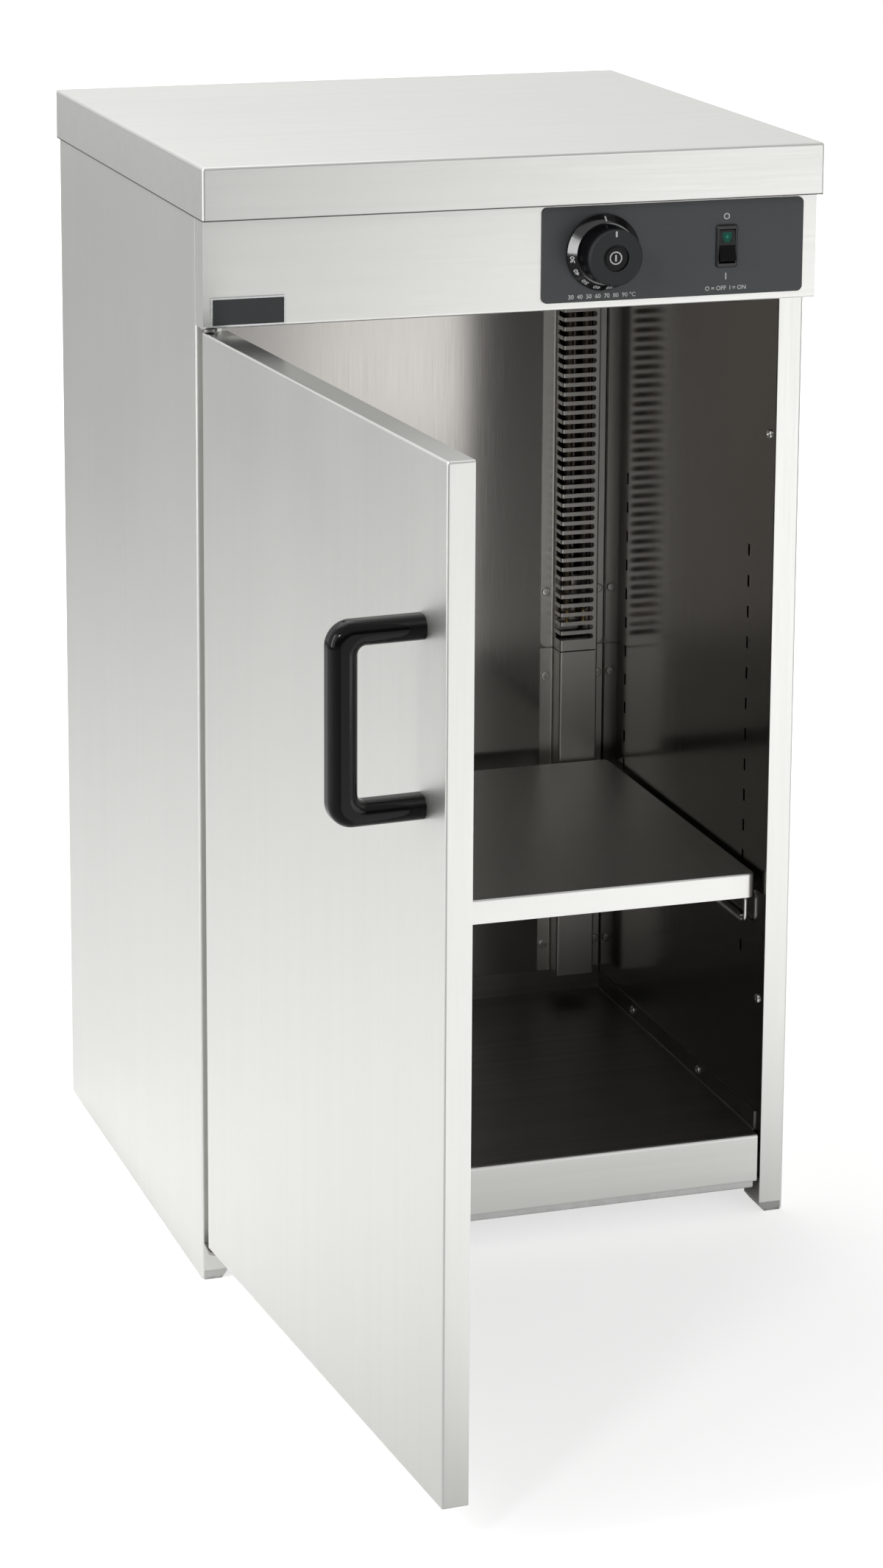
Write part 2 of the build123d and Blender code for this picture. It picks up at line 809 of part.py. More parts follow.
cap_root = dial_height + fit
ring_outer, ring_inner, ring_depth = cap_recess
with BuildPart() as knob_cap:
    with BuildSketch(dial_plane):
        with BuildLine():
            Polyline(
                (0, cap_hub_gap),
                (cap_hub_radius, cap_hub_gap),
                (cap_hub_radius, cap_root),
                (cap_diameter / 2, cap_root),
                (cap_front_diameter / 2, cap_front - cap_edge),
                (cap_front_diameter / 2 - cap_edge, cap_front),
                (ring_outer, cap_front),
                (ring_outer, cap_front - ring_depth),
                (ring_inner, cap_front - ring_depth),
                (ring_inner, cap_front - ring_depth / 2),
                (0, cap_front - ring_depth / 2),
                close=True,
            )
        make_face()
    revolve(axis=dial_axis)
    with BuildSketch(facing_front(fascia_seat)):
        with Locations((dial_x, control_z)):
            Circle(shaft_diameter / 2 + fit)
        with Locations((dial_x, flat_level + fit + shaft_diameter / 2)):
            Rectangle(2 * shaft_diameter, shaft_diameter, mode=Mode.SUBTRACT)
    extrude(amount=fascia_seat - shaft_tip + fit, mode=Mode.SUBTRACT)

# ---- Rocker switch ------------------------------------------------------------------------------

bezel_front = fascia_seat - bezel_thickness
switch_back = fascia_seat + switch_body[2]
pivot_y = bezel_front + rocker_face[0]
pivot_length = rocker_size[0] + 2 * rocker_pivot[1]
pivot_place = Location((switch_x, pivot_y, control_z), (0, 90, 0))
with BuildPart() as switch_housing:
    with BuildSketch(facing_front(fascia_seat)):
        with Locations((switch_x, control_z)):
            RectangleRounded(*bezel_size, bend)
    extrude(amount=bezel_thickness)
    chamfer(switch_housing.edges().group_by(Axis.Y)[0], length=bezel_thickness / 2)
    with BuildSketch(facing_front(switch_back)):
        with Locations((switch_x, control_z)):
            Rectangle(switch_body[0], switch_body[1])
    extrude(amount=switch_body[2])
    block(
        (switch_x - rocker_size[0] / 2 - rocker_gap, switch_x + rocker_size[0] / 2 + rocker_gap),
        (bezel_front - sheet, switch_back - 2 * sheet),
        (control_z - rocker_size[1] / 2 - rocker_gap, control_z + rocker_size[1] / 2 + rocker_gap),
        mode=Mode.SUBTRACT,
    )
    with Locations(pivot_place):
        Cylinder(rocker_pivot[0] + pin_clearance, pivot_length + 2 * fit, mode=Mode.SUBTRACT)
    for tab_z in (control_z - tab_spacing, control_z, control_z + tab_spacing):
        block(
            (switch_x - tab_size[2] / 2, switch_x + tab_size[2] / 2),
            (switch_back, switch_back + tab_size[1]),
            (tab_z - tab_size[0] / 2, tab_z + tab_size[0] / 2),
        )

# The rocker is a drum about its pivot, cut in front by two faces that meet in a shallow valley. A
# lens fills a pocket in its upper face.
drum_radius = rocker_size[1] / 2
lens_bottom = control_z + lens_height - lens_size[1] / 2
lens_spans = (
    (switch_x - lens_size[0] / 2, switch_x + lens_size[0] / 2),
    (pivot_y - rocker_size[1], pivot_y - rocker_face[0] + lens_size[2]),
    (lens_bottom, lens_bottom + lens_size[1]),
)


def drum_section():
    """Side view of the rocker before it is tilted."""
    with BuildSketch(Plane.YZ.offset(switch_x)) as section:
        with Locations((pivot_y, control_z)):
            Circle(drum_radius)
        with BuildLine():
            Polyline(
                (pivot_y - rocker_face[0], control_z),
                (pivot_y - rocker_face[1], control_z + drum_radius),
                (pivot_y - rocker_size[1], control_z + drum_radius),
                (pivot_y - rocker_size[1], control_z - drum_radius),
                (pivot_y - rocker_face[1], control_z - drum_radius),
                close=True,
            )
        make_face(mode=Mode.SUBTRACT)
    return section.sketch


with BuildPart() as rocker_drum:
    extrude(drum_section(), amount=rocker_size[0] / 2, both=True)
    with Locations(pivot_place):
        Cylinder(rocker_pivot[0], pivot_length)
    block(*lens_spans, mode=Mode.SUBTRACT)

with BuildPart() as lens_blank:
    extrude(drum_section(), amount=rocker_size[0] / 2, both=True)
    block(*lens_spans, mode=Mode.INTERSECT)

# ---- Terminal block and safety cut-out ----------------------------------------------------------

block_x = left + terminal_block_inset[0]
block_y = back - terminal_block_inset[1]
with BuildPart() as terminal_block:
    block(
        (block_x - terminal_block_size[0] / 2, block_x + terminal_block_size[0] / 2),
        (block_y - terminal_block_size[1] / 2, block_y + terminal_block_size[1] / 2),
        (ceiling_top, ceiling_top + terminal_block_size[2]),
    )
    with Locations((block_x, block_y, ceiling_top + terminal_block_size[2])):
        with GridLocations(terminal_block_size[0] / 3, terminal_block_size[1] / 2, 3, 2):
            Hole(radius=panel_screw[0], depth=terminal_block_size[2] / 2)

cutout_x = duct_side_left - 2 * cutout_radius
cutout_y = cavity_back - 2 * cutout_radius
cutout_top = ceiling_top + cutout_height
with BuildPart() as safety_cutout:
    with BuildSketch(Plane.XY.offset(ceiling_top)):
        with Locations((cutout_x, cutout_y)):
            Circle(cutout_radius)
    extrude(amount=cutout_height)
    for tab_x in (cutout_x - cutout_radius / 2, cutout_x + cutout_radius / 2):
        block(
            (tab_x - tab_size[0] / 2, tab_x + tab_size[0] / 2),
            (cutout_y - tab_size[2] / 2, cutout_y + tab_size[2] / 2),
            (cutout_top, cutout_top + tab_size[1]),
        )

# ---- Heater duct --------------------------------------------------------------------------------

# The duct is a hat section on the back wall. Its upper length is slotted round the left corner:
# each slot runs from near the back wall round the fold and across the front to a round end.
flange_face = cavity_back - sheet
hat_section = (
    (duct_side_left - duct_flange, flange_face),
    (duct_side_left, flange_face),
    (duct_side_left, duct_front),
    (duct_side_right, duct_front),
    (duct_side_right, flange_face),
    (duct_side_right + duct_flange, flange_face),
)
vent_levels = [duct_bottom + vent_first + vent_pitch * step for step in range(vent_count)]
vent_end = duct_side_right - vent_right
vent_start = cavity_back - vent_back


def vents(plane, start, end):
    """Slots drawn on a plane: their round ends stand at end, and at start past the corner."""
    with BuildSketch(plane) as slots:
        with Locations(*[((start + end) / 2, level) for level in vent_levels]):
            SlotOverall(end - start, vent_height)
    return slots.sketch


with BuildPart() as heater_guard:
    extrude(
        folded(hat_section, Plane.XY.offset(duct_bottom), radius=duct_bend),
        amount=duct_top - duct_bottom,
    )
    lower_edges = heater_guard.edges().filter_by(Axis.Y).group_by(Axis.Z)[0].sort_by(Axis.X)
    fillet([lower_edges[0], lower_edges[-1]], radius=duct_corner)
    past_corner = 2 * vent_height
    extrude(
        vents(facing_front(duct_front + 2 * sheet), duct_side_left - past_corner, vent_end),
        amount=3 * sheet,
        mode=Mode.SUBTRACT,
    )
    extrude(
        vents(Plane.YZ.offset(duct_side_left - sheet), duct_front - past_corner, vent_start),
        amount=3 * sheet,
        mode=Mode.SUBTRACT,
    )
    duct_screw_holes(guard_screw_levels)

with BuildPart() as air_duct:
    extrude(
        folded(hat_section, Plane.XY.offset(lower_duct_bottom), radius=duct_bend),
        amount=lower_duct_top - lower_duct_bottom,
    )
    duct_screw_holes(lower_screw_levels)

duct_screw = turned(*liner_screw)
with BuildPart() as duct_screws:
    with Locations(*[Location((x, flange_face, z), (90, 0, 0)) for x, z in duct_screw_places]):
        add(duct_screw)

# The element is a hairpin that stands in two brackets, with a terminal at each end.
leg_x = (duct_middle - element_spacing / 2, duct_middle + element_spacing / 2)
leg_bottom = duct_bottom + element_bottom
leg_top = duct_top - element_top - (element_spacing + element_diameter) / 2
with BuildPart() as heating_element:
    with BuildLine():
        Line((leg_x[0], element_y, leg_bottom), (leg_x[0], element_y, leg_top))
        ThreePointArc(
            (leg_x[0], element_y, leg_top),
            (duct_middle, element_y, leg_top + element_spacing / 2),
            (leg_x[1], element_y, leg_top),
        )
        Line((leg_x[1], element_y, leg_top), (leg_x[1], element_y, leg_bottom))
    with BuildSketch(Plane.XY.offset(leg_bottom)):
        with Locations((leg_x[0], element_y)):
            Circle(element_diameter / 2)
    sweep()

bracket_width, bracket_height, bracket_sheet = element_bracket
with BuildPart() as heater_brackets:
    for level in (leg_bottom + bracket_height, leg_top - bracket_height):
        block(
            (duct_middle - bracket_width / 2, duct_middle + bracket_width / 2),
            (element_y - element_diameter, cavity_back),
            (level, level + bracket_sheet),
        )
        block(
            (duct_middle - bracket_width / 2, duct_middle + bracket_width / 2),
            (cavity_back - bracket_sheet, cavity_back),
            (level, level + bracket_height),
        )
        with BuildSketch(Plane.XY.offset(level)):
            with Locations(*[(x, element_y) for x in leg_x]):
                Circle(element_diameter / 2 + fit)
        extrude(amount=bracket_sheet, mode=Mode.SUBTRACT)

with BuildPart() as heater_terminals:
    with BuildSketch(Plane.XY.offset(leg_bottom - terminal_length)):
        with Locations(*[(x, element_y) for x in leg_x]):
            Circle(terminal_radius)
    extrude(amount=terminal_length)

# ---- Sensor -------------------------------------------------------------------------------------

# The bulb hangs in two clips under the ceiling. Its capillary goes up through the ceiling and
# forward to the thermostat.
bulb_z = ceiling_bottom - bulb_drop
bulb_start = dial_x + capillary_bend + bend
capillary_z = control_z - thermostat_size[2] / 4
with BuildPart() as sensor_bulb:
    with BuildSketch(Plane.YZ.offset(bulb_start)):
        with Locations((bulb_y, bulb_z)):
            Circle(bulb_diameter / 2)
    extrude(amount=bulb_length)
    fillet(sensor_bulb.edges().group_by(Axis.X)[-1], radius=bulb_diameter / 3)
    add(
        round_bar(
            (
                (bulb_start + bend, bulb_y, bulb_z),
                (dial_x, bulb_y, bulb_z),
                (dial_x, bulb_y, capillary_z),
                (dial_x, thermostat_back, capillary_z),
            ),
            capillary,
            capillary_bend,
        )
    )

with BuildPart() as sensor_clips:
    for clip_x in (bulb_start + bulb_length / 4, bulb_start + bulb_length * 3 / 4):
        block(
            (clip_x - clip_width / 2, clip_x + clip_width / 2),
            (bulb_y - sheet / 2, bulb_y + sheet / 2),
            (bulb_z + bulb_diameter / 2, ceiling_bottom),
        )
        with BuildSketch(Plane.YZ.offset(clip_x - clip_width / 2)):
            with Locations((bulb_y, bulb_z)):
                Circle(bulb_diameter / 2 + sheet)
        extrude(amount=clip_width)
        with BuildSketch(Plane.YZ.offset(clip_x - clip_width / 2)):
            with Locations((bulb_y, bulb_z)):
                Circle(bulb_diameter / 2 + pin_clearance)
        extrude(amount=clip_width, mode=Mode.SUBTRACT)

# ---- Magnetic catches ---------------------------------------------------------------------------

# Each magnet stands behind the right post, screwed to the liner from inside the cavity.
magnet_x = inner_right + sheet
magnet_y = inside_front + 2 * sheet
with BuildPart() as catch_magnets:
    for level in catch_levels:
        block(
            (magnet_x, magnet_x + catch_size[0]),
            (magnet_y, magnet_y + catch_size[1]),
            (level - catch_size[2] / 2, level + catch_size[2] / 2),
        )
    with BuildSketch(Plane.YZ.offset(inner_right)):
        with Locations(*[(catch_screw_y, level) for level in catch_levels]):
            Circle(liner_screw[0] + fit)
    extrude(amount=liner_screw[1], mode=Mode.SUBTRACT)

with BuildPart() as catch_screws:
    with Locations(
        *[Location((inner_right, catch_screw_y, level), (0, -90, 0)) for level in catch_levels]
    ):
        add(pan_screw)

# ---- Hinge plates and pins ----------------------------------------------------------------------


def hinge_bracket(bottom):
    """Hinge plate with a round nose about the pin and a leg up the inside of the post."""
    with BuildPart() as bracket:
        with BuildSketch(Plane.XY.offset(bottom)):
            with Locations((hinge_x, hinge_y)):
                Circle(hinge_nose)
            with Locations(((plate_from + plate_to) / 2, front - sheet / 2)):
                Rectangle(hinge_width, sheet)
            make_hull()
            with Locations(((plate_from + plate_to) / 2, front + sheet)):
                Rectangle(hinge_width, 2 * sheet)
            with Locations((hinge_x, hinge_y)):
                Circle(pin_diameter / 2 + pin_clearance, mode=Mode.SUBTRACT)
        extrude(amount=hinge_plate)
        block(
            (plate_from, plate_to),
            (inside_front, inside_front + hinge_plate),
            (bottom, bottom + hinge_leg),
        )
    return bracket.part


lower_bracket = hinge_bracket(lower_plate)
upper_bracket = hinge_bracket(upper_plate)


def hinge_pin(bottom, top):
    """Pin between two levels, with a chamfer at both ends."""
    with BuildPart() as pin:
        with BuildSketch(Plane.XY.offset(bottom)):
            with Locations((hinge_x, hinge_y)):
                Circle(pin_diameter / 2)
        extrude(amount=top - bottom)
        chamfer(pin.edges().filter_by(GeomType.CIRCLE), length=pin_chamfer)
    return pin.part


with BuildPart() as hinge_pins:
    add(hinge_pin(lower_plate, door_bottom + pin_length))
    add(hinge_pin(door_top - pin_length, fascia_bottom))

# ---- Shelf supports and shelf -------------------------------------------------------------------

# A support is a wire loop along the wall. Two hooks reach through the slots and turn down behind
# the liner, and two straight feet rest in the slots below them.
wire_x = inner_left + wire_to_wall
loop_front = slot_columns[0] - wire_overhang[0]
loop_back = slot_columns[1] + wire_overhang[1]
hook_x = inner_left - sheet - wire
with BuildPart() as shelf_support_left:
    add(
        round_bar(
            (
                (wire_x, loop_front, lower_wire),
                (wire_x, loop_back, lower_wire),
                (wire_x, loop_back, upper_wire),
                (wire_x, loop_front, upper_wire),
            ),
            wire,
            wire_corner,
            closed=True,
        )
    )
    for column in slot_columns:
        add(
            round_bar(
                (
                    (wire_x, column, upper_wire),
                    (hook_x, column, upper_wire),
                    (hook_x, column, upper_wire - hook_drop),
                ),
                hook_wire,
                hook_wire,
            )
        )
        with BuildSketch(Plane.YZ.offset(hook_x)):
            with Locations((column, lower_wire)):
                Circle(hook_wire / 2)
        extrude(amount=wire_x - hook_x)

with BuildPart() as shelf_support_right:
    mirror(shelf_support_left.part, about=Plane.YZ)

# The shelf is a tray with its lips turned down.
shelf_edge = inner_left + shelf_to_wall
with BuildPart() as shelf:
    block(
        (shelf_edge, -shelf_edge),
        (front + shelf_setback, duct_front - shelf_to_duct),
        (shelf_bottom, shelf_top),
    )
    fillet(shelf.edges().filter_by(Axis.Z), radius=shelf_corner)
    fillet(shelf.edges().group_by(Axis.Z)[-1], radius=bend)
    offset(amount=-sheet, openings=shelf.faces().sort_by(Axis.Z)[0])

# ---- Door ---------------------------------------------------------------------------------------

# The door is modelled shut. Its outer pan holds the inner tray, and the filling lies between them.
handle_x = door_right - handle_inset
arm_levels = (handle_middle - handle_span / 2, handle_middle + handle_span / 2)
handle_screw_places = [(handle_x, level) for level in arm_levels]
with BuildPart() as door_outer:
    block((door_left, door_right), (door_front, door_back), (door_bottom, door_top))
    fillet(
        door_outer.edges().filter_by(Axis.Y) + door_outer.edges().group_by(Axis.Y)[0],
        radius=door_corner,
    )
    offset(amount=-sheet, openings=door_outer.faces().sort_by(Axis.Y)[-1])
    with BuildSketch(Plane.XY.offset(door_bottom - sheet)):
        with Locations((hinge_x, hinge_y)):
            Circle(collar_radius + fit)
    extrude(amount=door_top - door_bottom + 2 * sheet, mode=Mode.SUBTRACT)
    with BuildSketch(facing_front(door_front + 2 * sheet)):
        with Locations(*handle_screw_places):
            Circle(handle_fixing[0] + fit)
    extrude(amount=3 * sheet, mode=Mode.SUBTRACT)

tray_gap = sheet + 2 * fit
with BuildPart() as door_inner:
    block(
        (door_left + tray_gap, door_right - tray_gap),
        (door_back - skin_depth, door_back),
        (door_bottom + tray_gap, door_top - tray_gap),
    )
    offset(amount=-sheet, openings=door_inner.faces().sort_by(Axis.Y)[0])

fixing = turned(*handle_fixing)
with BuildPart() as handle_screws:
    with Locations(
        *[Location((x, door_front + sheet, z), (-90, 0, 0)) for x, z in handle_screw_places]
    ):
        add(fixing)

with BuildPart() as door_insulation:
    block(
        (door_left + door_filling[0], door_right - door_filling[0]),
        (door_front + sheet, door_back - sheet),
        (door_bottom + door_filling[1], door_top - door_filling[1]),
    )
    with BuildSketch(facing_front(door_front + sheet + 2 * handle_fixing[3])):
        with Locations(*handle_screw_places):
            Circle(handle_fixing[2] + sheet)
    extrude(amount=3 * handle_fixing[3], mode=Mode.SUBTRACT)

# A hinge block fills each hinge corner. Its collar stands out of the door onto the hinge plate.
bore_radius = pin_diameter / 2 + pin_clearance
collars = (
    (door_bottom - hinge_gap + fit, door_bottom + 2 * sheet),
    (door_top - 2 * sheet, upper_plate - fit),
)
bores = (
    (lower_plate, door_bottom + pin_length + fit),
    (door_top - pin_length - fit, fascia_bottom),
)
block_levels = (door_bottom + sheet, door_top - sheet - bush_size[1])
with BuildPart() as door_bushes:
    for level in block_levels:
        block(
            (door_left + sheet, door_left + sheet + bush_size[0]),
            (door_front + sheet, door_back - skin_depth - fit),
            (level, level + bush_size[1]),
        )
    chamfer(door_bushes.edges(), length=door_corner - sheet)
    for start, end in collars:
        with BuildSketch(Plane.XY.offset(start)):
            with Locations((hinge_x, hinge_y)):
                Circle(collar_radius)
        extrude(amount=end - start)
    for start, end in bores:
        with BuildSketch(Plane.XY.offset(start)):
            with Locations((hinge_x, hinge_y)):
                Circle(bore_radius)
        extrude(amount=end - start, mode=Mode.SUBTRACT)

strike_x = magnet_x + catch_size[0] / 2
with BuildPart() as strike_plates:
    for level in catch_levels:
        block(
            (strike_x - strike_size[0] / 2, strike_x + strike_size[0] / 2),
            (door_back - sheet - strike_size[1], door_back - sheet),
            (level - strike_size[2] / 2, level + strike_size[2] / 2),
        )

# ---- Door handle --------------------------------------------------------------------------------

# A moulded bow: its side view has a wide outer and a tight inner corner, and its edges are rounded
# until the bar is nearly round.
grip_back = door_front - handle_reach + grip_diameter / 2
grip_front = grip_back - grip_diameter
with BuildPart() as door_handle:
    with BuildSketch(Plane.YZ.offset(handle_x - grip_diameter / 2)) as bow:
        with Locations(((grip_front + door_front) / 2, handle_middle)):
            Rectangle(door_front - grip_front, handle_span + arm_height)
        fillet(bow.vertices().group_by(Axis.X)[0], radius=handle_outer_corner)
        with Locations(((grip_back + door_front) / 2, handle_middle)):
            Rectangle(door_front - grip_back, handle_span - arm_height, mode=Mode.SUBTRACT)
        inner_corners = bow.vertices().filter_by_position(Axis.X, grip_back - fit, grip_back + fit)
        fillet(inner_corners, radius=handle_inner_corner)
    extrude(amount=grip_diameter)
    bow_edges = door_handle.faces().filter_by(Axis.X).edges()
    fillet([edge for edge in bow_edges if edge.center().Y < door_front - fit], handle_rounding)
    with BuildSketch(facing_front(door_front)):
        with Locations(*handle_screw_places):
            Circle(handle_fixing[0] + fit)
    extrude(amount=handle_fixing[1], mode=Mode.SUBTRACT)

# ---- Moving pieces at rest ----------------------------------------------------------------------

# The door stands open, and the rocker rests with its upper end pressed in.
hinge_axis = Axis((hinge_x, hinge_y, 0), (0, 0, 1))
rocker_axis = Axis((switch_x, pivot_y, control_z), (1, 0, 0))
shut_door = {
    "door_outer": door_outer.part,
    "door_inner": door_inner.part,
    "door_insulation": door_insulation.part,
    "door_bushes": door_bushes.part,
    "strike_plates": strike_plates.part,
    "door_handle": door_handle.part,
    "handle_screws": handle_screws.part,
}
level_rocker = {"rocker": rocker_drum.part, "rocker_lens": lens_blank.part}

pieces = {
    "side_panel_left": side_panel_left.part,
    "side_panel_right": side_panel_right.part,
    "foot_glides": foot_glides.part,
    "liner_left": liner_left.part,
    "liner_right": liner_right.part,
    "liner_rear": liner_rear.part,
    "base_pan": base_pan.part,
    "pan_screws": pan_screws.part,
    "bottom_cover": bottom_cover.part,
    "floor_insulation": floor_insulation.part,
    "side_insulation": side_insulation.part,
    "rear_insulation": rear_insulation.part,
    "ceiling": ceiling.part,
    "ceiling_insulation": ceiling_insulation.part,
    "rear_panel": rear_panel.part,
    "rear_panel_screws": rear_panel_screws.part,
    "cable_gland": cable_gland.part,
    "gland_nut": gland_nut.part,
    "earth_stud": earth_stud.part,
    "lid": lid.part,
    "lid_screws": lid_screws.part,
    "fascia": fascia.part,
    "control_plate": control_plate.part,
    "thermostat_body": thermostat_body.part,
    "thermostat_screws": thermostat_screws.part,
    "thermostat_shaft": thermostat_shaft.part,
    "knob_skirt": knob_skirt.part,
    "knob_cap": knob_cap.part,
    "switch_housing": switch_housing.part,
    "terminal_block": terminal_block.part,
    "safety_cutout": safety_cutout.part,
    "heater_guard": heater_guard.part,
    "air_duct": air_duct.part,
    "duct_screws": duct_screws.part,
    "heating_element": heating_element.part,
    "heater_brackets": heater_brackets.part,
    "heater_terminals": heater_terminals.part,
    "sensor_bulb": sensor_bulb.part,
    "sensor_clips": sensor_clips.part,
    "catch_magnets": catch_magnets.part,
    "catch_screws": catch_screws.part,
    "hinge_bracket_bottom": lower_bracket,
    "hinge_bracket_top": upper_bracket,
    "hinge_pins": hinge_pins.part,
    "shelf_support_left": shelf_support_left.part,
    "shelf_support_right": shelf_support_right.part,
    "shelf": shelf.part,
}
for name, piece in shut_door.items():
    pieces[name] = piece.rotate(hinge_axis, -door_open)
for name, piece in level_rocker.items():
    pieces[name] = piece.rotate(rocker_axis, -rocker_tilt)

for name, piece in pieces.items():
    piece.label = name
    export_step(piece, f"parts/{name}.step")
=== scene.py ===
"""Looks of the plate warmer cabinet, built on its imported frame.

The script follows the cabinet as it is put together: body, inner walls, base, ceiling, back, lid,
fascia with its controls, heater, catches, shelf, door and handle. The floor, the light and the
camera come last. Every length is in metres.
"""

from math import cos, pi, radians, sin

import bmesh
import bpy
from mathutils import Matrix, Vector


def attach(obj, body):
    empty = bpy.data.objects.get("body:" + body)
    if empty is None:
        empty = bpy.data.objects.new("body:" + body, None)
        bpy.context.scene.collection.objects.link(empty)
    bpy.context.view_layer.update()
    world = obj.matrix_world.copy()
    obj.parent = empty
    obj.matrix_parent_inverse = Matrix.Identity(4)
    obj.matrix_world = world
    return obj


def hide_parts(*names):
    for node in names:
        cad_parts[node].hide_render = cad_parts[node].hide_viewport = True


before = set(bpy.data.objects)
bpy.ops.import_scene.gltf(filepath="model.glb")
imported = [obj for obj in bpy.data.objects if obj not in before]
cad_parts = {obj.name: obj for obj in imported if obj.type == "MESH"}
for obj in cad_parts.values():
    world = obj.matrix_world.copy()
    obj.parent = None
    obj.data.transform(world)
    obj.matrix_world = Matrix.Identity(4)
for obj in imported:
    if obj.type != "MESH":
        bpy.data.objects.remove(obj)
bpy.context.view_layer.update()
bpy.ops.object.select_all(action="DESELECT")

# ---- Side panels and posts ----------------------------------------------------------------------
# Each side of the body is one satin stainless sheet, folded into the post in front and into a
# flange behind. It is brushed up its length before it is folded, and is never painted.


class Signal:
    """A socket among a finish's nodes. Sums, differences and products of signals add Math nodes."""

    def __init__(self, socket):
        self.socket = socket

    def node(self, kind, settings, sockets, output=0):
        """Adds a node: first its settings, then the values or links of its sockets."""
        tree = self.socket.id_data
        made = tree.nodes.new(kind)
        for name, value in settings.items():
            setattr(made, name, value)
        for key, value in sockets.items():
            if isinstance(value, Signal):
                tree.links.new(value.socket, made.inputs[key])
            else:
                made.inputs[key].default_value = value
        return Signal(made.outputs[output])

    def math(self, operation, first, second=0.0):
        return self.node("ShaderNodeMath", {"operation": operation}, {0: first, 1: second})

    def __add__(self, other):
        return self.math("ADD", self, other)

    def __sub__(self, other):
        return self.math("SUBTRACT", self, other)

    def __rsub__(self, other):
        return self.math("SUBTRACT", other, self)

    def __mul__(self, other):
        return self.math("MULTIPLY", self, other)

    def __abs__(self):
        return self.math("ABSOLUTE", self)

    __radd__ = __add__
    __rmul__ = __mul__

    def along(self, axis):
        """How far a place lies along an axis: 0 for X, 1 for Y and 2 for Z."""
        return self.node("ShaderNodeSeparateXYZ", {}, {0: self}, output=axis)

    def distance(self, point):
        return self.node(
            "ShaderNodeVectorMath", {"operation": "DISTANCE"}, {0: self, 1: point}, output=1
        )

    def noise(self, waves, detail=2.0):
        """Cloudy pattern from 0 to 1. Waves are counted per metre, alike or axis by axis."""
        scale = (waves,) * 3 if isinstance(waves, float) else waves
        stretched = self.node("ShaderNodeMapping", {}, {"Vector": self, "Scale": scale})
        return self.node(
            "ShaderNodeTexNoise", {}, {"Vector": stretched, "Scale": 1.0, "Detail": detail}
        )

    def ramp(self, start, end):
        """0 below start, 1 above end, and smooth in between."""
        return self.node(
            "ShaderNodeMapRange",
            {"interpolation_type": "SMOOTHSTEP"},
            {"Value": self, "From Min": start, "From Max": end},
        )

    def mix(self, first, second):
        """The first colour where this is 0 and the second where it is 1."""
        return self.node(
            "ShaderNodeMix", {"data_type": "RGBA"}, {0: self, 6: first, 7: second}, output=2
        )

    def relief(self, height):
        """Normals of a surface whose highest points stand that far above its lowest."""
        return self.node(
            "ShaderNodeBump", {}, {"Height": self, "Distance": height, "Strength": 1.0}
        )


class Finish:
    """A material, and the nodes that vary it over the surface."""

    def __init__(self, name, sockets):
        self.material = bpy.data.materials.new(name)
        self.material.use_nodes = True
        nodes = self.material.node_tree.nodes
        self.place = Signal(nodes.new("ShaderNodeTexCoord").outputs["Object"])
        self.give(sockets)

    def give(self, sockets):
        """Sets or links sockets of the shader."""
        tree = self.material.node_tree
        for name, value in sockets.items():
            socket = tree.nodes["Principled BSDF"].inputs[name]
            if isinstance(value, Signal):
                tree.links.new(value.socket, socket)
            else:
                socket.default_value = value

    def cover(self, *names):
        """Puts the finish on pieces of the frame."""
        for name in names:
            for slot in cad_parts[name].material_slots:
                slot.material = self.material


def tint(colour, share):
    """The colour times a share, as a node's colour."""
    return tuple(channel * share for channel in colour) + (1.0,)


def brushed(name, colour, roughness, along, smears=0.0, depth=0.00003):
    """Satin sheet: fine scratches along one axis, broad faint bands, and clouds left by wiping.

    The finish keeps its bands and its roughness, for the sheets that change them in places.
    """
    sheet = Finish(name, {"Metallic": 1.0})
    scratch_waves, band_waves = [1500.0] * 3, [140.0] * 3
    scratch_waves[along], band_waves[along] = 18.0, 2.5
    scratch = sheet.place.noise(scratch_waves, 3.0)
    cloud = sheet.place.noise(5.0, 4.0)
    sheet.bands = sheet.place.noise(band_waves)
    sheet.roughness = (scratch - 0.5) * 0.12 + (cloud - 0.5) * (0.05 + smears) + roughness
    shade = (sheet.bands * 0.5 + cloud * 0.5).ramp(0.25, 0.75)
    sheet.give(
        {
            "Base Color": shade.mix(tint(colour, 0.98), tint(colour, 1.01)),
            "Roughness": sheet.roughness,
            "Normal": (scratch * 0.9 + sheet.bands * 0.1).relief(depth),
        }
    )
    return sheet


satin = (0.80, 0.80, 0.775)
upright_sheet = brushed("satin_stainless_upright", satin, 0.42, 2)
upright_sheet.cover("side_panel_left", "side_panel_right")

# ---- Feet ---------------------------------------------------------------------------------------
# Four grey glides of hard plastic plug into the walls from below, in the corners of the body, and
# carry the cabinet. They are moulded, with a fine matt skin, and scuff a little near the floor.

glide = Finish("grey_glide_plastic", {"Specular IOR Level": 0.4})
scuffed_below, clean_above = 0.0005, 0.004
near_floor = 1.0 - glide.place.along(2).ramp(scuffed_below, clean_above)
scuff = glide.place.noise(300.0, 4.0) * near_floor
glide.give(
    {
        "Base Color": scuff.ramp(0.2, 0.6).mix((0.74, 0.74, 0.72, 1), (0.52, 0.51, 0.48, 1)),
        "Roughness": 0.62 - scuff * 0.1,
        "Normal": glide.place.noise(2500.0).relief(0.00004),
    }
)
glide.cover("foot_glides")
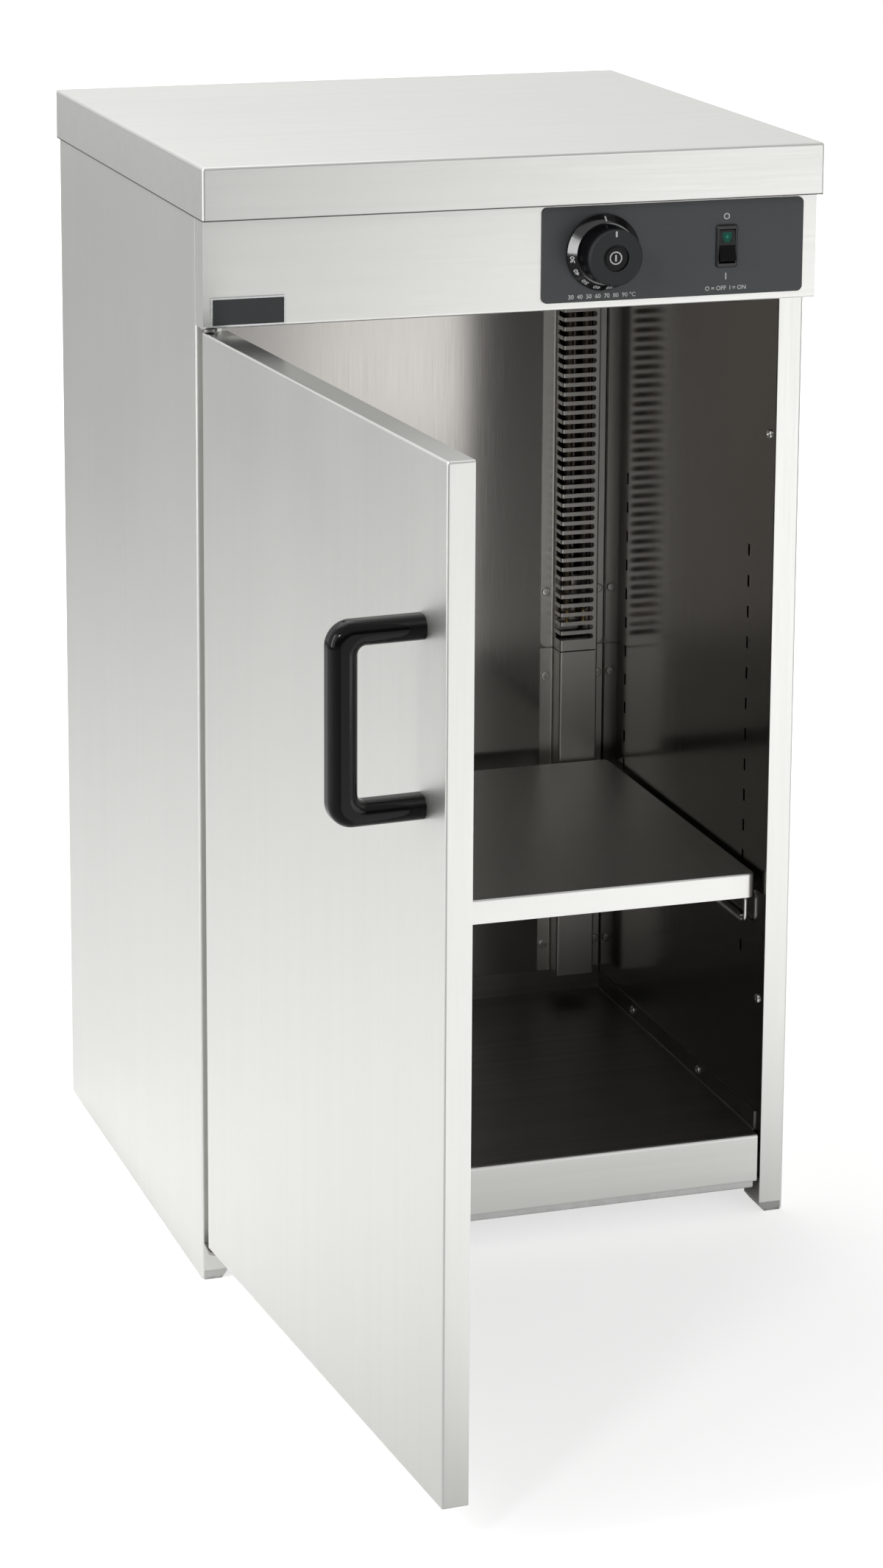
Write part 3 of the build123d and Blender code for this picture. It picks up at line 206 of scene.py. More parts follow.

# ---- Inner walls, base and ceiling --------------------------------------------------------------
# The cavity's lining is stainless painted darker than the outside, as painted shade, and
# it mirrors more on the walls. The side and back liners stand on end, and the base pan and
# the ceiling lie across them. The pan's front rail shows outside the cavity, and is as pale as
# the body; inside the cavity the pan is painted darker with the same painted shade.

# Darker colour for the cavity's lining: painted shade.
shaded_inner_steel = (0.30, 0.29, 0.275)
liner_sheet = brushed("shaded_inner_stainless_upright", shaded_inner_steel, 0.15, 2, depth=0.000003)
liner_sheet.cover("liner_left", "liner_right", "liner_rear")
ceiling_sheet = brushed("shaded_inner_stainless_across", shaded_inner_steel, 0.3, 0, depth=0.000008)
ceiling_sheet.cover("ceiling")
pan_sheet = brushed("base_pan_stainless", satin, 0.40, 0)
rail_back, cavity_front = -0.199, -0.197
# Inside the cavity the pan takes the darker colour: painted shade.
shaded_inside = pan_sheet.place.along(1).ramp(rail_back, cavity_front)
pan_grain = pan_sheet.bands.ramp(0.25, 0.75)
pan_sheet.give(
    {
        "Base Color": shaded_inside.mix(
            pan_grain.mix(tint(satin, 0.975), tint(satin, 1.015)),
            pan_grain.mix(tint(shaded_inner_steel, 0.9), shaded_inner_steel + (1.0,)),
        )
    }
)
pan_sheet.cover("base_pan")

# ---- Galvanised sheets --------------------------------------------------------------------------
# The rear panel and the cover under the floor are plain galvanised steel. From the front only the
# cover's edge shows, under the rail. The zinc has set in large pale and dark crystals, with a dull
# skin.

zinc = Finish("galvanised_sheet", {"Metallic": 1.0})
crystals = zinc.place.node(
    "ShaderNodeTexVoronoi", {}, {"Vector": zinc.place, "Scale": 130.0}, output=1
)
spangle = zinc.place.node("ShaderNodeSeparateColor", {}, {0: crystals})
haze = zinc.place.noise(14.0, 4.0)
zinc.give(
    {
        "Base Color": (spangle * 0.6 + haze * 0.4).mix(
            (0.58, 0.585, 0.58, 1), (0.72, 0.725, 0.715, 1)
        ),
        "Roughness": spangle * 0.16 + haze * 0.1 + 0.36,
        "Normal": spangle.relief(0.00002),
    }
)
zinc.cover("rear_panel", "bottom_cover")

# ---- Filling ------------------------------------------------------------------------------------
# Slabs of mineral wool keep the heat in the walls, the floor, the ceiling and the door. They are
# pressed from tangled yellow-brown fibres and show only when the cabinet is taken apart.

wool = Finish("mineral_wool_slab", {"Roughness": 0.95, "Specular IOR Level": 0.1})
strands_across = wool.place.noise((90.0, 900.0, 500.0), 5.0)
strands_back = wool.place.noise((700.0, 120.0, 300.0), 5.0)
strands = strands_across * 0.5 + strands_back * 0.5
wool.give(
    {
        "Base Color": strands.ramp(0.3, 0.7).mix((0.34, 0.27, 0.15, 1), (0.74, 0.66, 0.47, 1)),
        "Normal": strands.relief(0.0008),
    }
)
wool.cover(
    "floor_insulation",
    "side_insulation",
    "rear_insulation",
    "ceiling_insulation",
    "door_insulation",
)

# ---- Screws -------------------------------------------------------------------------------------
# Plated pan-head screws with a cross recess hold the back, the lid, the base pan, the duct and the
# catches. A tall and a low head are domed and punched, and the others are copies of these two. The
# screws of the thermostat and the handle are out of sight and keep their plain heads.

plated = Finish("plated_screw_steel", {"Metallic": 1.0})
pits = plated.place.noise(1800.0, 3.0)
plated.give(
    {
        "Base Color": pits.mix((0.74, 0.74, 0.72, 1), (0.88, 0.88, 0.86, 1)),
        "Roughness": pits * 0.16 + 0.14,
        "Normal": pits.relief(0.00002),
    }
)


def applied(piece, kind, settings):
    """Gives the piece a modifier and applies it."""
    modifier = piece.modifiers.new(kind.lower(), kind)
    for name, value in settings.items():
        setattr(modifier, name, value)
    bpy.context.view_layer.objects.active = piece
    bpy.ops.object.modifier_apply(modifier=modifier.name)


def picked(piece, kind, wanted):
    """Enters edit mode with only the wanted faces or edges selected."""
    bpy.context.view_layer.objects.active = piece
    bpy.ops.object.mode_set(mode="EDIT")
    bpy.ops.mesh.select_mode(type=kind)
    bpy.ops.mesh.select_all(action="DESELECT")
    shape = bmesh.from_edit_mesh(piece.data)
    for element in shape.faces if kind == "FACE" else shape.edges:
        element.select_set(wanted(element))
    bmesh.update_edit_mesh(piece.data)


def pan_head(radius, rise, shank, length):
    """A screw that stands on its head's underside at the origin and points down."""
    dome = rise * 0.75
    punch_size = (radius * 1.15, radius * 0.24, rise * 1.1)
    punch_middle, punch_taper = rise * 0.8, 0.45
    bpy.ops.mesh.primitive_cylinder_add(
        vertices=28, radius=radius, depth=rise, location=(0, 0, rise / 2)
    )
    screw = bpy.context.object
    bpy.ops.object.transform_apply(location=True)
    picked(screw, "EDGE", lambda edge: all(corner.co.z > rise * 0.99 for corner in edge.verts))
    bpy.ops.mesh.bevel(offset=dome, segments=4, profile=0.55)
    bpy.ops.object.mode_set(mode="OBJECT")
    picked(screw, "FACE", lambda face: face.normal.z < -0.9)
    bpy.ops.mesh.inset(thickness=radius - shank)
    bpy.ops.mesh.extrude_region_move(TRANSFORM_OT_translate={"value": (0, 0, -length)})
    bpy.ops.object.mode_set(mode="OBJECT")
    for turn in (0, pi / 2):
        bpy.ops.mesh.primitive_cube_add(
            size=1, location=(0, 0, punch_middle), rotation=(0, 0, turn), scale=punch_size
        )
        punch = bpy.context.object
        bpy.ops.object.transform_apply(location=True, rotation=True, scale=True)
        picked(punch, "FACE", lambda face: face.normal.z < -0.9)
        bpy.ops.transform.resize(value=(punch_taper, punch_taper, 1))
        bpy.ops.object.mode_set(mode="OBJECT")
        applied(screw, "BOOLEAN", {"operation": "DIFFERENCE", "object": punch, "solver": "EXACT"})
        bpy.data.objects.remove(punch)
    bpy.ops.object.select_all(action="DESELECT")
    return screw


def copies(pattern, name, places):
    """One piece made of a copy of the pattern at each place, as a point and the way it faces.

    Each copy is driven home to another angle, so that the crosses don't line up.
    """
    first_angle, next_angle = 20, 37
    made = []
    for spot, (point, facing) in enumerate(places):
        piece = bpy.data.objects.new(name, pattern.data.copy())
        bpy.context.collection.objects.link(piece)
        turn = Matrix.Rotation(radians(first_angle + next_angle * spot), 4, "Z")
        stand = Vector(facing).to_track_quat("Z", "Y").to_matrix().to_4x4()
        piece.data.transform(Matrix.Translation(point) @ stand @ turn)
        made.append(piece)
    bpy.ops.object.select_all(action="DESELECT")
    for piece in made:
        piece.select_set(True)
    bpy.context.view_layer.objects.active = made[0]
    bpy.ops.object.join()
    bpy.ops.object.shade_smooth_by_angle(angle=radians(35))
    made[0].name = name
    made[0].data.materials.append(plated.material)
    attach(made[0], "cabinet")
    bpy.ops.object.select_all(action="DESELECT")
    return made[0]


head_radius, shank_radius, shank_length = 0.0036, 0.0019, 0.006
tall_rise, low_rise = 0.0022, 0.0016
panel_screw = pan_head(head_radius, tall_rise, shank_radius, shank_length)
liner_screw = pan_head(head_radius, low_rise, shank_radius, shank_length)

sides = (-1, 1)
flange_x, panel_back, lid_back, lid_level = 0.21575, 0.201, 0.203, 0.7915
lowest_level, level_step = 0.045, 0.683 / 3
back_heads = copies(
    panel_screw,
    "back_screw_heads",
    [
        ((side * flange_x, panel_back, lowest_level + level_step * row), (0, 1, 0))
        for side in sides
        for row in range(4)
    ],
)
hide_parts("rear_panel_screws")
lid_heads = copies(
    panel_screw,
    "lid_screw_heads",
    [((side * flange_x, lid_back, lid_level), (0, 1, 0)) for side in sides],
)
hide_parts("lid_screws")

pan_edge_x, pan_level = 0.2055, 0.068
pan_heads = copies(
    liner_screw,
    "pan_screw_heads",
    [
        ((side * pan_edge_x, y, pan_level), (-side, 0, 0))
        for side in sides
        for y in (-0.076, 0.067)
    ],
)
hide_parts("pan_screws")
liner_x, catch_y = 0.2065, -0.189
catch_heads = copies(
    liner_screw,
    "catch_screw_heads",
    [((liner_x, catch_y, level), (-1, 0, 0)) for level in (0.593, 0.164)],
)
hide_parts("catch_screws")
duct_flange_y = 0.149
duct_heads = copies(
    liner_screw,
    "duct_screw_heads",
    [
        ((x, duct_flange_y, level), (0, -1, 0))
        for x in (0.15664, 0.20106)
        for level in (0.1031, 0.329, 0.399, 0.650)
    ],
)
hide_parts("duct_screws")
for pattern in (panel_screw, liner_screw):
    bpy.data.objects.remove(pattern)
plated.cover("thermostat_screws", "handle_screws")

# ---- Cord gland and earth stud ------------------------------------------------------------------
# A black gland of hard nylon sits in the back for the mains lead, held by a nut inside, and the
# door turns in bushes of the same nylon. The earth stud by the gland is plain brass, and so are
# the element's terminals and the bulb of the sensor.

nylon = Finish("black_nylon", {"Base Color": (0.018, 0.018, 0.019, 1)})
nylon.give(
    {
        "Roughness": nylon.place.noise(60.0) * 0.2 + 0.36,
        "Normal": nylon.place.noise(3000.0).relief(0.00003),
    }
)
nylon.cover("cable_gland", "gland_nut", "door_bushes")

brass = Finish("plain_brass", {"Metallic": 1.0})
tarnish = brass.place.noise(220.0, 4.0)
brass.give(
    {
        "Base Color": tarnish.ramp(0.35, 0.75).mix((0.72, 0.56, 0.29, 1), (0.42, 0.29, 0.13, 1)),
        "Roughness": tarnish * 0.3 + 0.2,
    }
)
brass.cover("earth_stud", "heater_terminals", "sensor_bulb")

# ---- Lid and fascia -----------------------------------------------------------------------------
# The lid is a pan of satin stainless turned over the body, and the fascia is a box of the same
# sheet that stands out over the door. Both are brushed across, from side to side. A thin dark
# line is painted all round the lid's lower edge as painted shade of its seam.

level_sheet = brushed("satin_stainless_across", satin, 0.42, 0)
level_sheet.cover("fascia")
lid_sheet = brushed("lid_stainless", satin, 0.42, 0)
# Below this level the lid is painted dark all round: painted shade of the seam.
seam_shade_top, bright_above = 0.7735, 0.7742
above_seam_shade = lid_sheet.place.along(2).ramp(seam_shade_top, bright_above)
lid_grain = lid_sheet.bands.ramp(0.25, 0.75)
lid_sheet.give(
    {
        "Base Color": above_seam_shade.mix(
            (0.10, 0.095, 0.085, 1), lid_grain.mix(tint(satin, 0.98), tint(satin, 1.01))
        )
    }
)
lid_sheet.cover("lid")

# ---- Badge plate --------------------------------------------------------------------------------
# A small blank plate sits at the lower left of the fascia: dark in the middle, with a bright rim
# left round it where the metal is bare. It is pressed from thin sheet and stuck on.

badge_left, badge_right = -0.2196, -0.1666
badge_bottom, badge_top = 0.6992, 0.7194
fascia_face, badge_thick, badge_corner = -0.221, 0.0009, 0.0016
rim_slope, rim_rise, rim_width = 0.0003, 0.0002, 0.0009
step_width, step_depth = 0.0001, 0.00025
bpy.ops.mesh.primitive_cube_add(
    size=1,
    location=(
        (badge_left + badge_right) / 2,
        fascia_face - badge_thick / 2,
        (badge_bottom + badge_top) / 2,
    ),
    scale=(badge_right - badge_left, badge_thick, badge_top - badge_bottom),
)
badge = bpy.context.object
badge.name = "badge_plate"
bpy.ops.object.transform_apply(location=True, rotation=True, scale=True)
picked(badge, "EDGE", lambda edge: abs(edge.verts[0].co.y - edge.verts[1].co.y) > badge_thick / 2)
bpy.ops.mesh.bevel(offset=badge_corner, segments=4)
bpy.ops.object.mode_set(mode="OBJECT")
picked(badge, "FACE", lambda face: face.normal.y < -0.9)
bpy.ops.mesh.inset(thickness=rim_slope)
bpy.ops.transform.translate(value=(0, -rim_rise, 0))
bpy.ops.mesh.inset(thickness=rim_width)
bpy.ops.mesh.inset(thickness=step_width)
bpy.ops.transform.translate(value=(0, step_depth, 0))
bpy.ops.object.mode_set(mode="OBJECT")
bare_rim = brushed("bright_rim", (0.78, 0.79, 0.80), 0.28, 0)
dark_enamel = Finish("dark_enamel", {"Base Color": (0.030, 0.032, 0.034, 1)})
dark_enamel.give(
    {
        "Roughness": dark_enamel.place.noise(70.0, 4.0) * 0.25 + 0.28,
        "Normal": dark_enamel.place.noise(1800.0).relief(0.00002),
    }
)
badge.data.materials.append(bare_rim.material)
badge.data.materials.append(dark_enamel.material)
front_faces = [face for face in badge.data.polygons if face.normal.y < -0.9]
max(front_faces, key=lambda face: face.area).material_index = 1
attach(badge, "cabinet")
bpy.ops.object.select_all(action="DESELECT")

# ---- Control plate and its legends --------------------------------------------------------------
# The controls stand on a charcoal plate with a fine satin coat. Its signs are plain: a circle over
# the switch and a bar under it, the two positions in letters, and the dial's temperatures.

charcoal = Finish("charcoal_coat", {"Specular IOR Level": 0.5})
speckle = charcoal.place.noise(1400.0, 3.0)
wiped = charcoal.place.noise((28.0, 28.0, 14.0), 4.0)
charcoal.give(
    {
        "Base Color": (speckle * 0.6 + wiped * 0.4)
        .ramp(0.3, 0.7)
        .mix((0.052, 0.056, 0.060, 1), (0.074, 0.078, 0.083, 1)),
        "Roughness": wiped * 0.2 + 0.36,
        "Normal": speckle.relief(0.00003),
    }
)
charcoal.cover("control_plate")

print_white = Finish("white_print", {"Specular IOR Level": 0.3})
worn = print_white.place.noise(1500.0, 3.0)
print_white.give(
    {
        "Base Color": worn.ramp(0.3, 0.8).mix((0.78, 0.79, 0.78, 1), (0.60, 0.61, 0.61, 1)),
        "Roughness": worn * 0.2 + 0.4,
    }
)
print_depth = 0.00005


def printed(name, words, size, stand, body):
    """Words printed on a surface: their middle is where the matrix says, and they face its +Z."""
    bpy.ops.object.text_add()
    text = bpy.context.object
    text.data.body = words
    text.data.size = size
    text.data.offset = size * 0.02
    text.data.align_x, text.data.align_y = "CENTER", "CENTER"
    text.data.extrude = print_depth
    text.data.resolution_u = 3
    bpy.ops.object.convert(target="MESH")
    text = bpy.context.object
    text.name = name
    text.data.transform(stand)
    text.data.materials.clear()
    text.data.materials.append(print_white.material)
    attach(text, body)
    bpy.ops.object.select_all(action="DESELECT")


plate_front = -0.2222
dial_x, switch_x, control_z = 0.0632, 0.1562, 0.73825
facing_front = Matrix.Rotation(pi / 2, 4, "X")
for name, words, size, x, z in (
    ("sign_off", "O", 0.0062, switch_x, 0.7592),
    ("sign_on", "I", 0.0066, switch_x, 0.7165),
    ("caption_switch", "O = OFF  I = ON", 0.0043, switch_x, 0.7082),
    ("caption_dial", "30  40  50  60  70  80  90 °C", 0.0043, dial_x, 0.7071),
):
    printed(name, words, size, Matrix.Translation((x, plate_front, z)) @ facing_front, "cabinet")

# ---- Dial ---------------------------------------------------------------------------------------
# The dial is moulded in two pieces, a glossy skirt with the numbers on its slope and a duller cap
# with a black middle in its face. Its marks are printed, and turn with it.

gloss_skirt = Finish(
    "glossy_black_skirt", {"Base Color": (0.008, 0.008, 0.009, 1), "Specular IOR Level": 0.85}
)
handling = gloss_skirt.place.noise(160.0, 4.0)
gloss_skirt.give(
    {
        "Roughness": handling * 0.12 + 0.07,
        "Normal": gloss_skirt.place.noise(900.0).relief(0.00001),
    }
)
gloss_skirt.cover("knob_skirt")

cap_skin = Finish("satin_black_cap", {"Specular IOR Level": 0.12})
flattened = cap_skin.place.node(
    "ShaderNodeVectorMath", {"operation": "MULTIPLY"}, {0: cap_skin.place, 1: (1, 0, 1)}
)
from_axis = flattened.distance((dial_x, 0, control_z))
middle_edge, face_inner, face_outer, side_edge = 0.0094, 0.0097, 0.0196, 0.0203
past_middle = from_axis.ramp(middle_edge, face_inner)
on_face = past_middle * (1.0 - from_axis.ramp(face_outer, side_edge))
grit = cap_skin.place.noise(1600.0, 3.0)
cap_skin.give(
    {
        "Base Color": on_face.mix((0.004, 0.004, 0.005, 1), (0.048, 0.050, 0.052, 1)),
        "Roughness": on_face * 0.26 + grit * 0.1 + 0.16,
        "Normal": (grit * on_face).relief(0.00003),
    }
)
cap_skin.cover("knob_cap")

# The skirt leans out by 5 for every 6 that it runs back. Seen from the front, its numbers run
# counterclockwise from the left, and they stand on its slope with their feet to the cap.
skirt_out, skirt_back = 5 / 61**0.5, 6 / 61**0.5
number_ring, number_rise, number_size = 0.0244, 0.00612, 0.0050
first_number_angle, number_step_angle = 188, 22.5
for step, degrees in enumerate(range(30, 100, 10)):
    turn = radians(first_number_angle + number_step_angle * step)
    outward = Vector((cos(turn), 0, sin(turn)))
    slope = outward * skirt_out + Vector((0, skirt_back, 0))
    normal = outward * skirt_back - Vector((0, skirt_out, 0))
    across = slope.cross(normal)
    stand = Matrix((across, slope, normal)).transposed().to_4x4()
    point = Vector((dial_x, plate_front - number_rise, control_z)) + outward * number_ring
    printed(
        f"dial_number_{degrees}",
        str(degrees),
        number_size,
        Matrix.Translation(point) @ stand,
        "knob",
    )


def printed_bar(name, width, length, stand, body):
    """A short printed line with rounded ends, its middle and its face placed by the matrix."""
    bpy.ops.mesh.primitive_cube_add(size=1, scale=(width, length, 2 * print_depth))
    bar = bpy.context.object
    bar.name = name
    bpy.ops.object.transform_apply(location=True, rotation=True, scale=True)
    picked(bar, "EDGE", lambda edge: abs(edge.verts[0].co.z - edge.verts[1].co.z) > print_depth)
    bpy.ops.mesh.bevel(offset=width * 0.45, segments=3)
    bpy.ops.object.mode_set(mode="OBJECT")
    bar.data.transform(stand)
    bar.data.materials.append(print_white.material)
    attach(bar, body)
    bpy.ops.object.select_all(action="DESELECT")


up_slope = Vector((0, skirt_back, skirt_out))
mark_stand = Matrix(((1, 0, 0), up_slope, (0, -skirt_out, skirt_back))).transposed().to_4x4()
mark_point = Vector((dial_x, plate_front - number_rise, control_z + number_ring))
printed_bar("dial_zero_mark", 0.0011, 0.0048, Matrix.Translation(mark_point) @ mark_stand, "knob")

cap_rise, hub_sunk, pointer_out = 0.028, 0.0008, 0.0168
cap_face = plate_front - cap_rise
pointer_stand = Matrix.Translation((dial_x, cap_face, control_z + pointer_out)) @ facing_front
printed_bar("cap_pointer", 0.0014, 0.0042, pointer_stand, "knob")
hub_stand = Matrix.Translation((dial_x, cap_face + hub_sunk, control_z)) @ facing_front
bpy.ops.mesh.primitive_torus_add(
    major_segments=40, minor_segments=6, major_radius=0.0042, minor_radius=0.00048
)
hub_ring = bpy.context.object
hub_ring.name = "cap_ring_mark"
picked(hub_ring, "FACE", lambda face: True)
bpy.ops.transform.resize(value=(1, 1, 0.25))
bpy.ops.object.mode_set(mode="OBJECT")
hub_ring.data.transform(hub_stand)
hub_ring.data.materials.append(print_white.material)
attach(hub_ring, "knob")
bpy.ops.object.select_all(action="DESELECT")
printed_bar("cap_bar_mark", 0.0013, 0.0048, hub_stand, "knob")

# ---- Thermostat ---------------------------------------------------------------------------------
# Behind the plate the thermostat is a plain steel case. Its shaft is turned, with fine rings left
# by the tool, and has a flat milled on its end for the cap.

turned_steel = Finish("turned_steel", {"Metallic": 1.0})
rings = turned_steel.place.noise((20.0, 2600.0, 20.0), 2.0)
turned_steel.give(
    {
        "Base Color": rings.mix((0.50, 0.50, 0.50, 1), (0.66, 0.66, 0.66, 1)),
        "Roughness": rings * 0.2 + 0.24,
        "Normal": rings.relief(0.00002),
    }
)
turned_steel.cover("thermostat_shaft", "thermostat_body")

# ---- Rocker switch ------------------------------------------------------------------------------
# A black nylon frame snaps into the plate and holds a glossy rocker. A green lens sits in the
# rocker's upper half, and its moulding narrows to a point. The lens is given a painted glow,
# brightest in a painted spot above that point; no lamp is built in it.

frame_skin = Finish("satin_black_frame", {"Base Color": (0.020, 0.020, 0.022, 1)})
frame_skin.give(
    {
        "Roughness": frame_skin.place.noise(120.0) * 0.15 + 0.30,
        "Normal": frame_skin.place.noise(2600.0).relief(0.00002),
    }
)
frame_skin.cover("switch_housing")
rocker_skin = Finish(
    "glossy_black_rocker", {"Base Color": (0.006, 0.006, 0.007, 1), "Specular IOR Level": 0.22}
)
rocker_skin.give({"Roughness": rocker_skin.place.noise(300.0, 3.0) * 0.14 + 0.1})
rocker_skin.cover("rocker")
green_glass = Finish("green_lens", {"Specular IOR Level": 0.15, "Emission Strength": 0.22})
# The lens's glow is painted light, brightest in a painted spot above the wedge's point.
wedge_point, glow_spot_level, glow_spot_spread = control_z - 0.0004, control_z + 0.0068, 0.000002
off_middle = abs(green_glass.place.along(0) - switch_x)
above_point = green_glass.place.along(2) - wedge_point
above_glow_spot = green_glass.place.along(2) - glow_spot_level
wedge = 1.0 - (off_middle - above_point * 0.5).ramp(-0.0006, 0.0008)
# The spot is the painted bright spot of the lens's glow.
spot = 1.0 - (off_middle * off_middle + above_glow_spot * above_glow_spot).ramp(0.0, glow_spot_spread)
green_glass.give(
    {
        "Base Color": wedge.mix((0.003, 0.018, 0.013, 1), (0.005, 0.060, 0.042, 1)),
        "Emission Color": spot.mix(
            wedge.mix((0.0, 0.010, 0.007, 1), (0.004, 0.13, 0.09, 1)), (0.12, 0.60, 0.45, 1)
        ),
        "Roughness": wedge * 0.1 + 0.24,
    }
)
green_glass.cover("rocker_lens")

# ---- Terminal block and safety cut-out ----------------------------------------------------------
# Both stand on the ceiling inside the control space, moulded in a cream plastic that takes the
# heat. It has a chalky skin and yellows slightly with age.

cream = Finish("cream_heatproof_plastic", {"Specular IOR Level": 0.35})
ageing = cream.place.noise(90.0, 4.0)
cream.give(
    {
        "Base Color": ageing.mix((0.80, 0.77, 0.68, 1), (0.70, 0.65, 0.52, 1)),
        "Roughness": ageing * 0.15 + 0.5,
        "Normal": cream.place.noise(2000.0).relief(0.00003),
    }
)
cream.cover("terminal_block", "safety_cutout")

# ---- Heater duct, element and sensor ------------------------------------------------------------
# The slotted guard and the plain duct under it are folded from a stainless a little darker than
# the outside. The hairpin element inside has turned dark and straw-coloured with heat. Its brackets
# and clips are plated, as the door's strike plates are.

guard_sheet = brushed("duct_stainless", (0.62, 0.61, 0.58), 0.36, 2)
guard_sheet.cover("heater_guard", "air_duct")
hot_tube = Finish("heat_darkened_tube", {"Metallic": 1.0})
bloom = hot_tube.place.noise((60.0, 60.0, 18.0), 4.0)
hot_tube.give(
    {
        "Base Color": bloom.ramp(0.3, 0.7).mix((0.10, 0.09, 0.085, 1), (0.27, 0.22, 0.16, 1)),
        "Roughness": bloom * 0.25 + 0.4,
        "Normal": hot_tube.place.noise(1500.0).relief(0.00004),
    }
)
hot_tube.cover("heating_element")
fitting = brushed("plated_fittings", (0.66, 0.66, 0.64), 0.30, 0)
fitting.cover("heater_brackets", "sensor_clips", "strike_plates")

# ---- Magnetic catches ---------------------------------------------------------------------------
# Two magnets stand behind the right post, one high and one low. They are bound ferrite, dark grey
# and slightly grainy, with no coat.

ferrite = Finish("bound_ferrite", {"Specular IOR Level": 0.4})
grains = ferrite.place.noise(1200.0, 4.0)
ferrite.give(
    {
        "Base Color": grains.mix((0.035, 0.035, 0.036, 1), (0.075, 0.074, 0.072, 1)),
        "Roughness": grains * 0.2 + 0.5,
        "Normal": grains.relief(0.00005),
    }
)
ferrite.cover("catch_magnets")

# ---- Shelf and its supports ---------------------------------------------------------------------
# The shelf is a loose tray of satin stainless with its lips turned down. It lies on two supports
# bent from bright drawn wire, hooked into the slots of the side walls.

shelf_sheet = brushed("shelf_stainless", satin, 0.38, 0)
shelf_sheet.cover("shelf")
drawn_wire = Finish("bright_drawn_wire", {"Metallic": 1.0})
draw_lines = drawn_wire.place.noise((1800.0, 14.0, 1800.0), 2.0)
drawn_wire.give(
    {
        "Base Color": draw_lines.mix((0.70, 0.70, 0.70, 1), (0.84, 0.84, 0.83, 1)),
        "Roughness": draw_lines * 0.12 + 0.12,
        "Normal": draw_lines.relief(0.00001),
    }
)
drawn_wire.cover("shelf_support_left", "shelf_support_right")

# ---- Door ---------------------------------------------------------------------------------------
# The door is an outer pan of satin stainless, brushed upright and a little cloudy from wiping, that
# mirrors more along its turned-over top. Its inner tray is painted dark as shade, much like the
# cavity's lining, with the filling between them. Its brackets and pins are of plain dark steel.

door_sheet = brushed("door_stainless", satin, 0.42, 2, smears=0.06)
top_fold, top_face = 0.6944, 0.6949
on_top = door_sheet.place.along(2).ramp(top_fold, top_face)
door_sheet.give({"Roughness": door_sheet.roughness - on_top * 0.2})
door_sheet.cover("door_outer")
# Dark colour of the inner tray: painted shade, like the cavity's lining.
tray_sheet = brushed("shaded_door_tray_stainless", (0.36, 0.35, 0.33), 0.34, 2)
tray_sheet.cover("door_inner")
hinge_steel = brushed("hinge_steel", (0.34, 0.335, 0.32), 0.34, 0)
hinge_steel.cover("hinge_bracket_bottom", "hinge_bracket_top", "hinge_pins")

# ---- Door handle --------------------------------------------------------------------------------
# The handle is a glossy black bow, moulded in one shot and screwed on from inside the door. Hands
# leave its skin a little duller in patches.

bow_skin = Finish(
    "glossy_black_bow", {"Base Color": (0.003, 0.003, 0.0035, 1), "Specular IOR Level": 0.22}
)
grip_marks = bow_skin.place.noise((45.0, 45.0, 30.0), 4.0)
bow_skin.give(
    {
        "Roughness": grip_marks * 0.06 + 0.04,
        "Normal": bow_skin.place.noise(500.0).relief(0.00002),
    }
)
bow_skin.cover("door_handle")

# ---- Floor --------------------------------------------------------------------------------------
# A plain pale floor that glows for the camera, so that it runs into the white background and keeps
# the cabinet's soft shadow. Metal mirrors a dimmer glow from behind the cabinet and from its front
# right, and none from under it.

bpy.ops.mesh.primitive_plane_add(size=14)
floor = bpy.context.object
floor.name = "floor"
floor_coat = Finish("pale_floor", {"Base Color": (0.86, 0.86, 0.86, 1), "Roughness": 0.9})
floor_tree = floor_coat.material.node_tree
ray = floor_tree.nodes.new("ShaderNodeLightPath").outputs
seen = Signal(ray["Is Camera Ray"])
mirrored = Signal(ray["Is Glossy Ray"]) + Signal(ray["Is Transmission Ray"])
near_point, near_reach, far_reach = (-0.5, -0.8, 0), 0.7, 3.8
far = floor_coat.place.distance(near_point).ramp(near_reach, far_reach)
floor_x, floor_y = floor_coat.place.along(0), floor_coat.place.along(1)
side_fade, back_fade = (0.18, 0.26), (0.14, 0.22)
# Under the cabinet the glow that metal mirrors is taken away: a painted shadow.
under = (1.0 - abs(floor_x).ramp(*side_fade)) * (1.0 - abs(floor_y).ramp(*back_fade))
rear = floor_y.ramp(-0.9, 0.1) * (1.0 - under)
front = (1.0 - floor_y.ramp(-0.7, -0.2)) * floor_x.ramp(-0.2, 0.05)
glow = seen * (far * 0.30 + 0.31) + mirrored * (
    rear * (0.23 - far * 0.21) + front * (0.40 - far * 0.285)
)
floor_coat.give({"Emission Color": glow.mix((0, 0, 0, 1), (1, 1, 1, 1)), "Emission Strength": 2.0})
floor.data.materials.append(floor_coat.material)

# ---- Light and background -----------------------------------------------------------------------
# Five soft lamps: a small key high at the front left, a large dim one and a narrow strip at the
# left, a low weak one at the right, and a large one over the back for the lid. The background is
# white to the camera; metal mirrors it dark in front and paler behind, above and at the right.

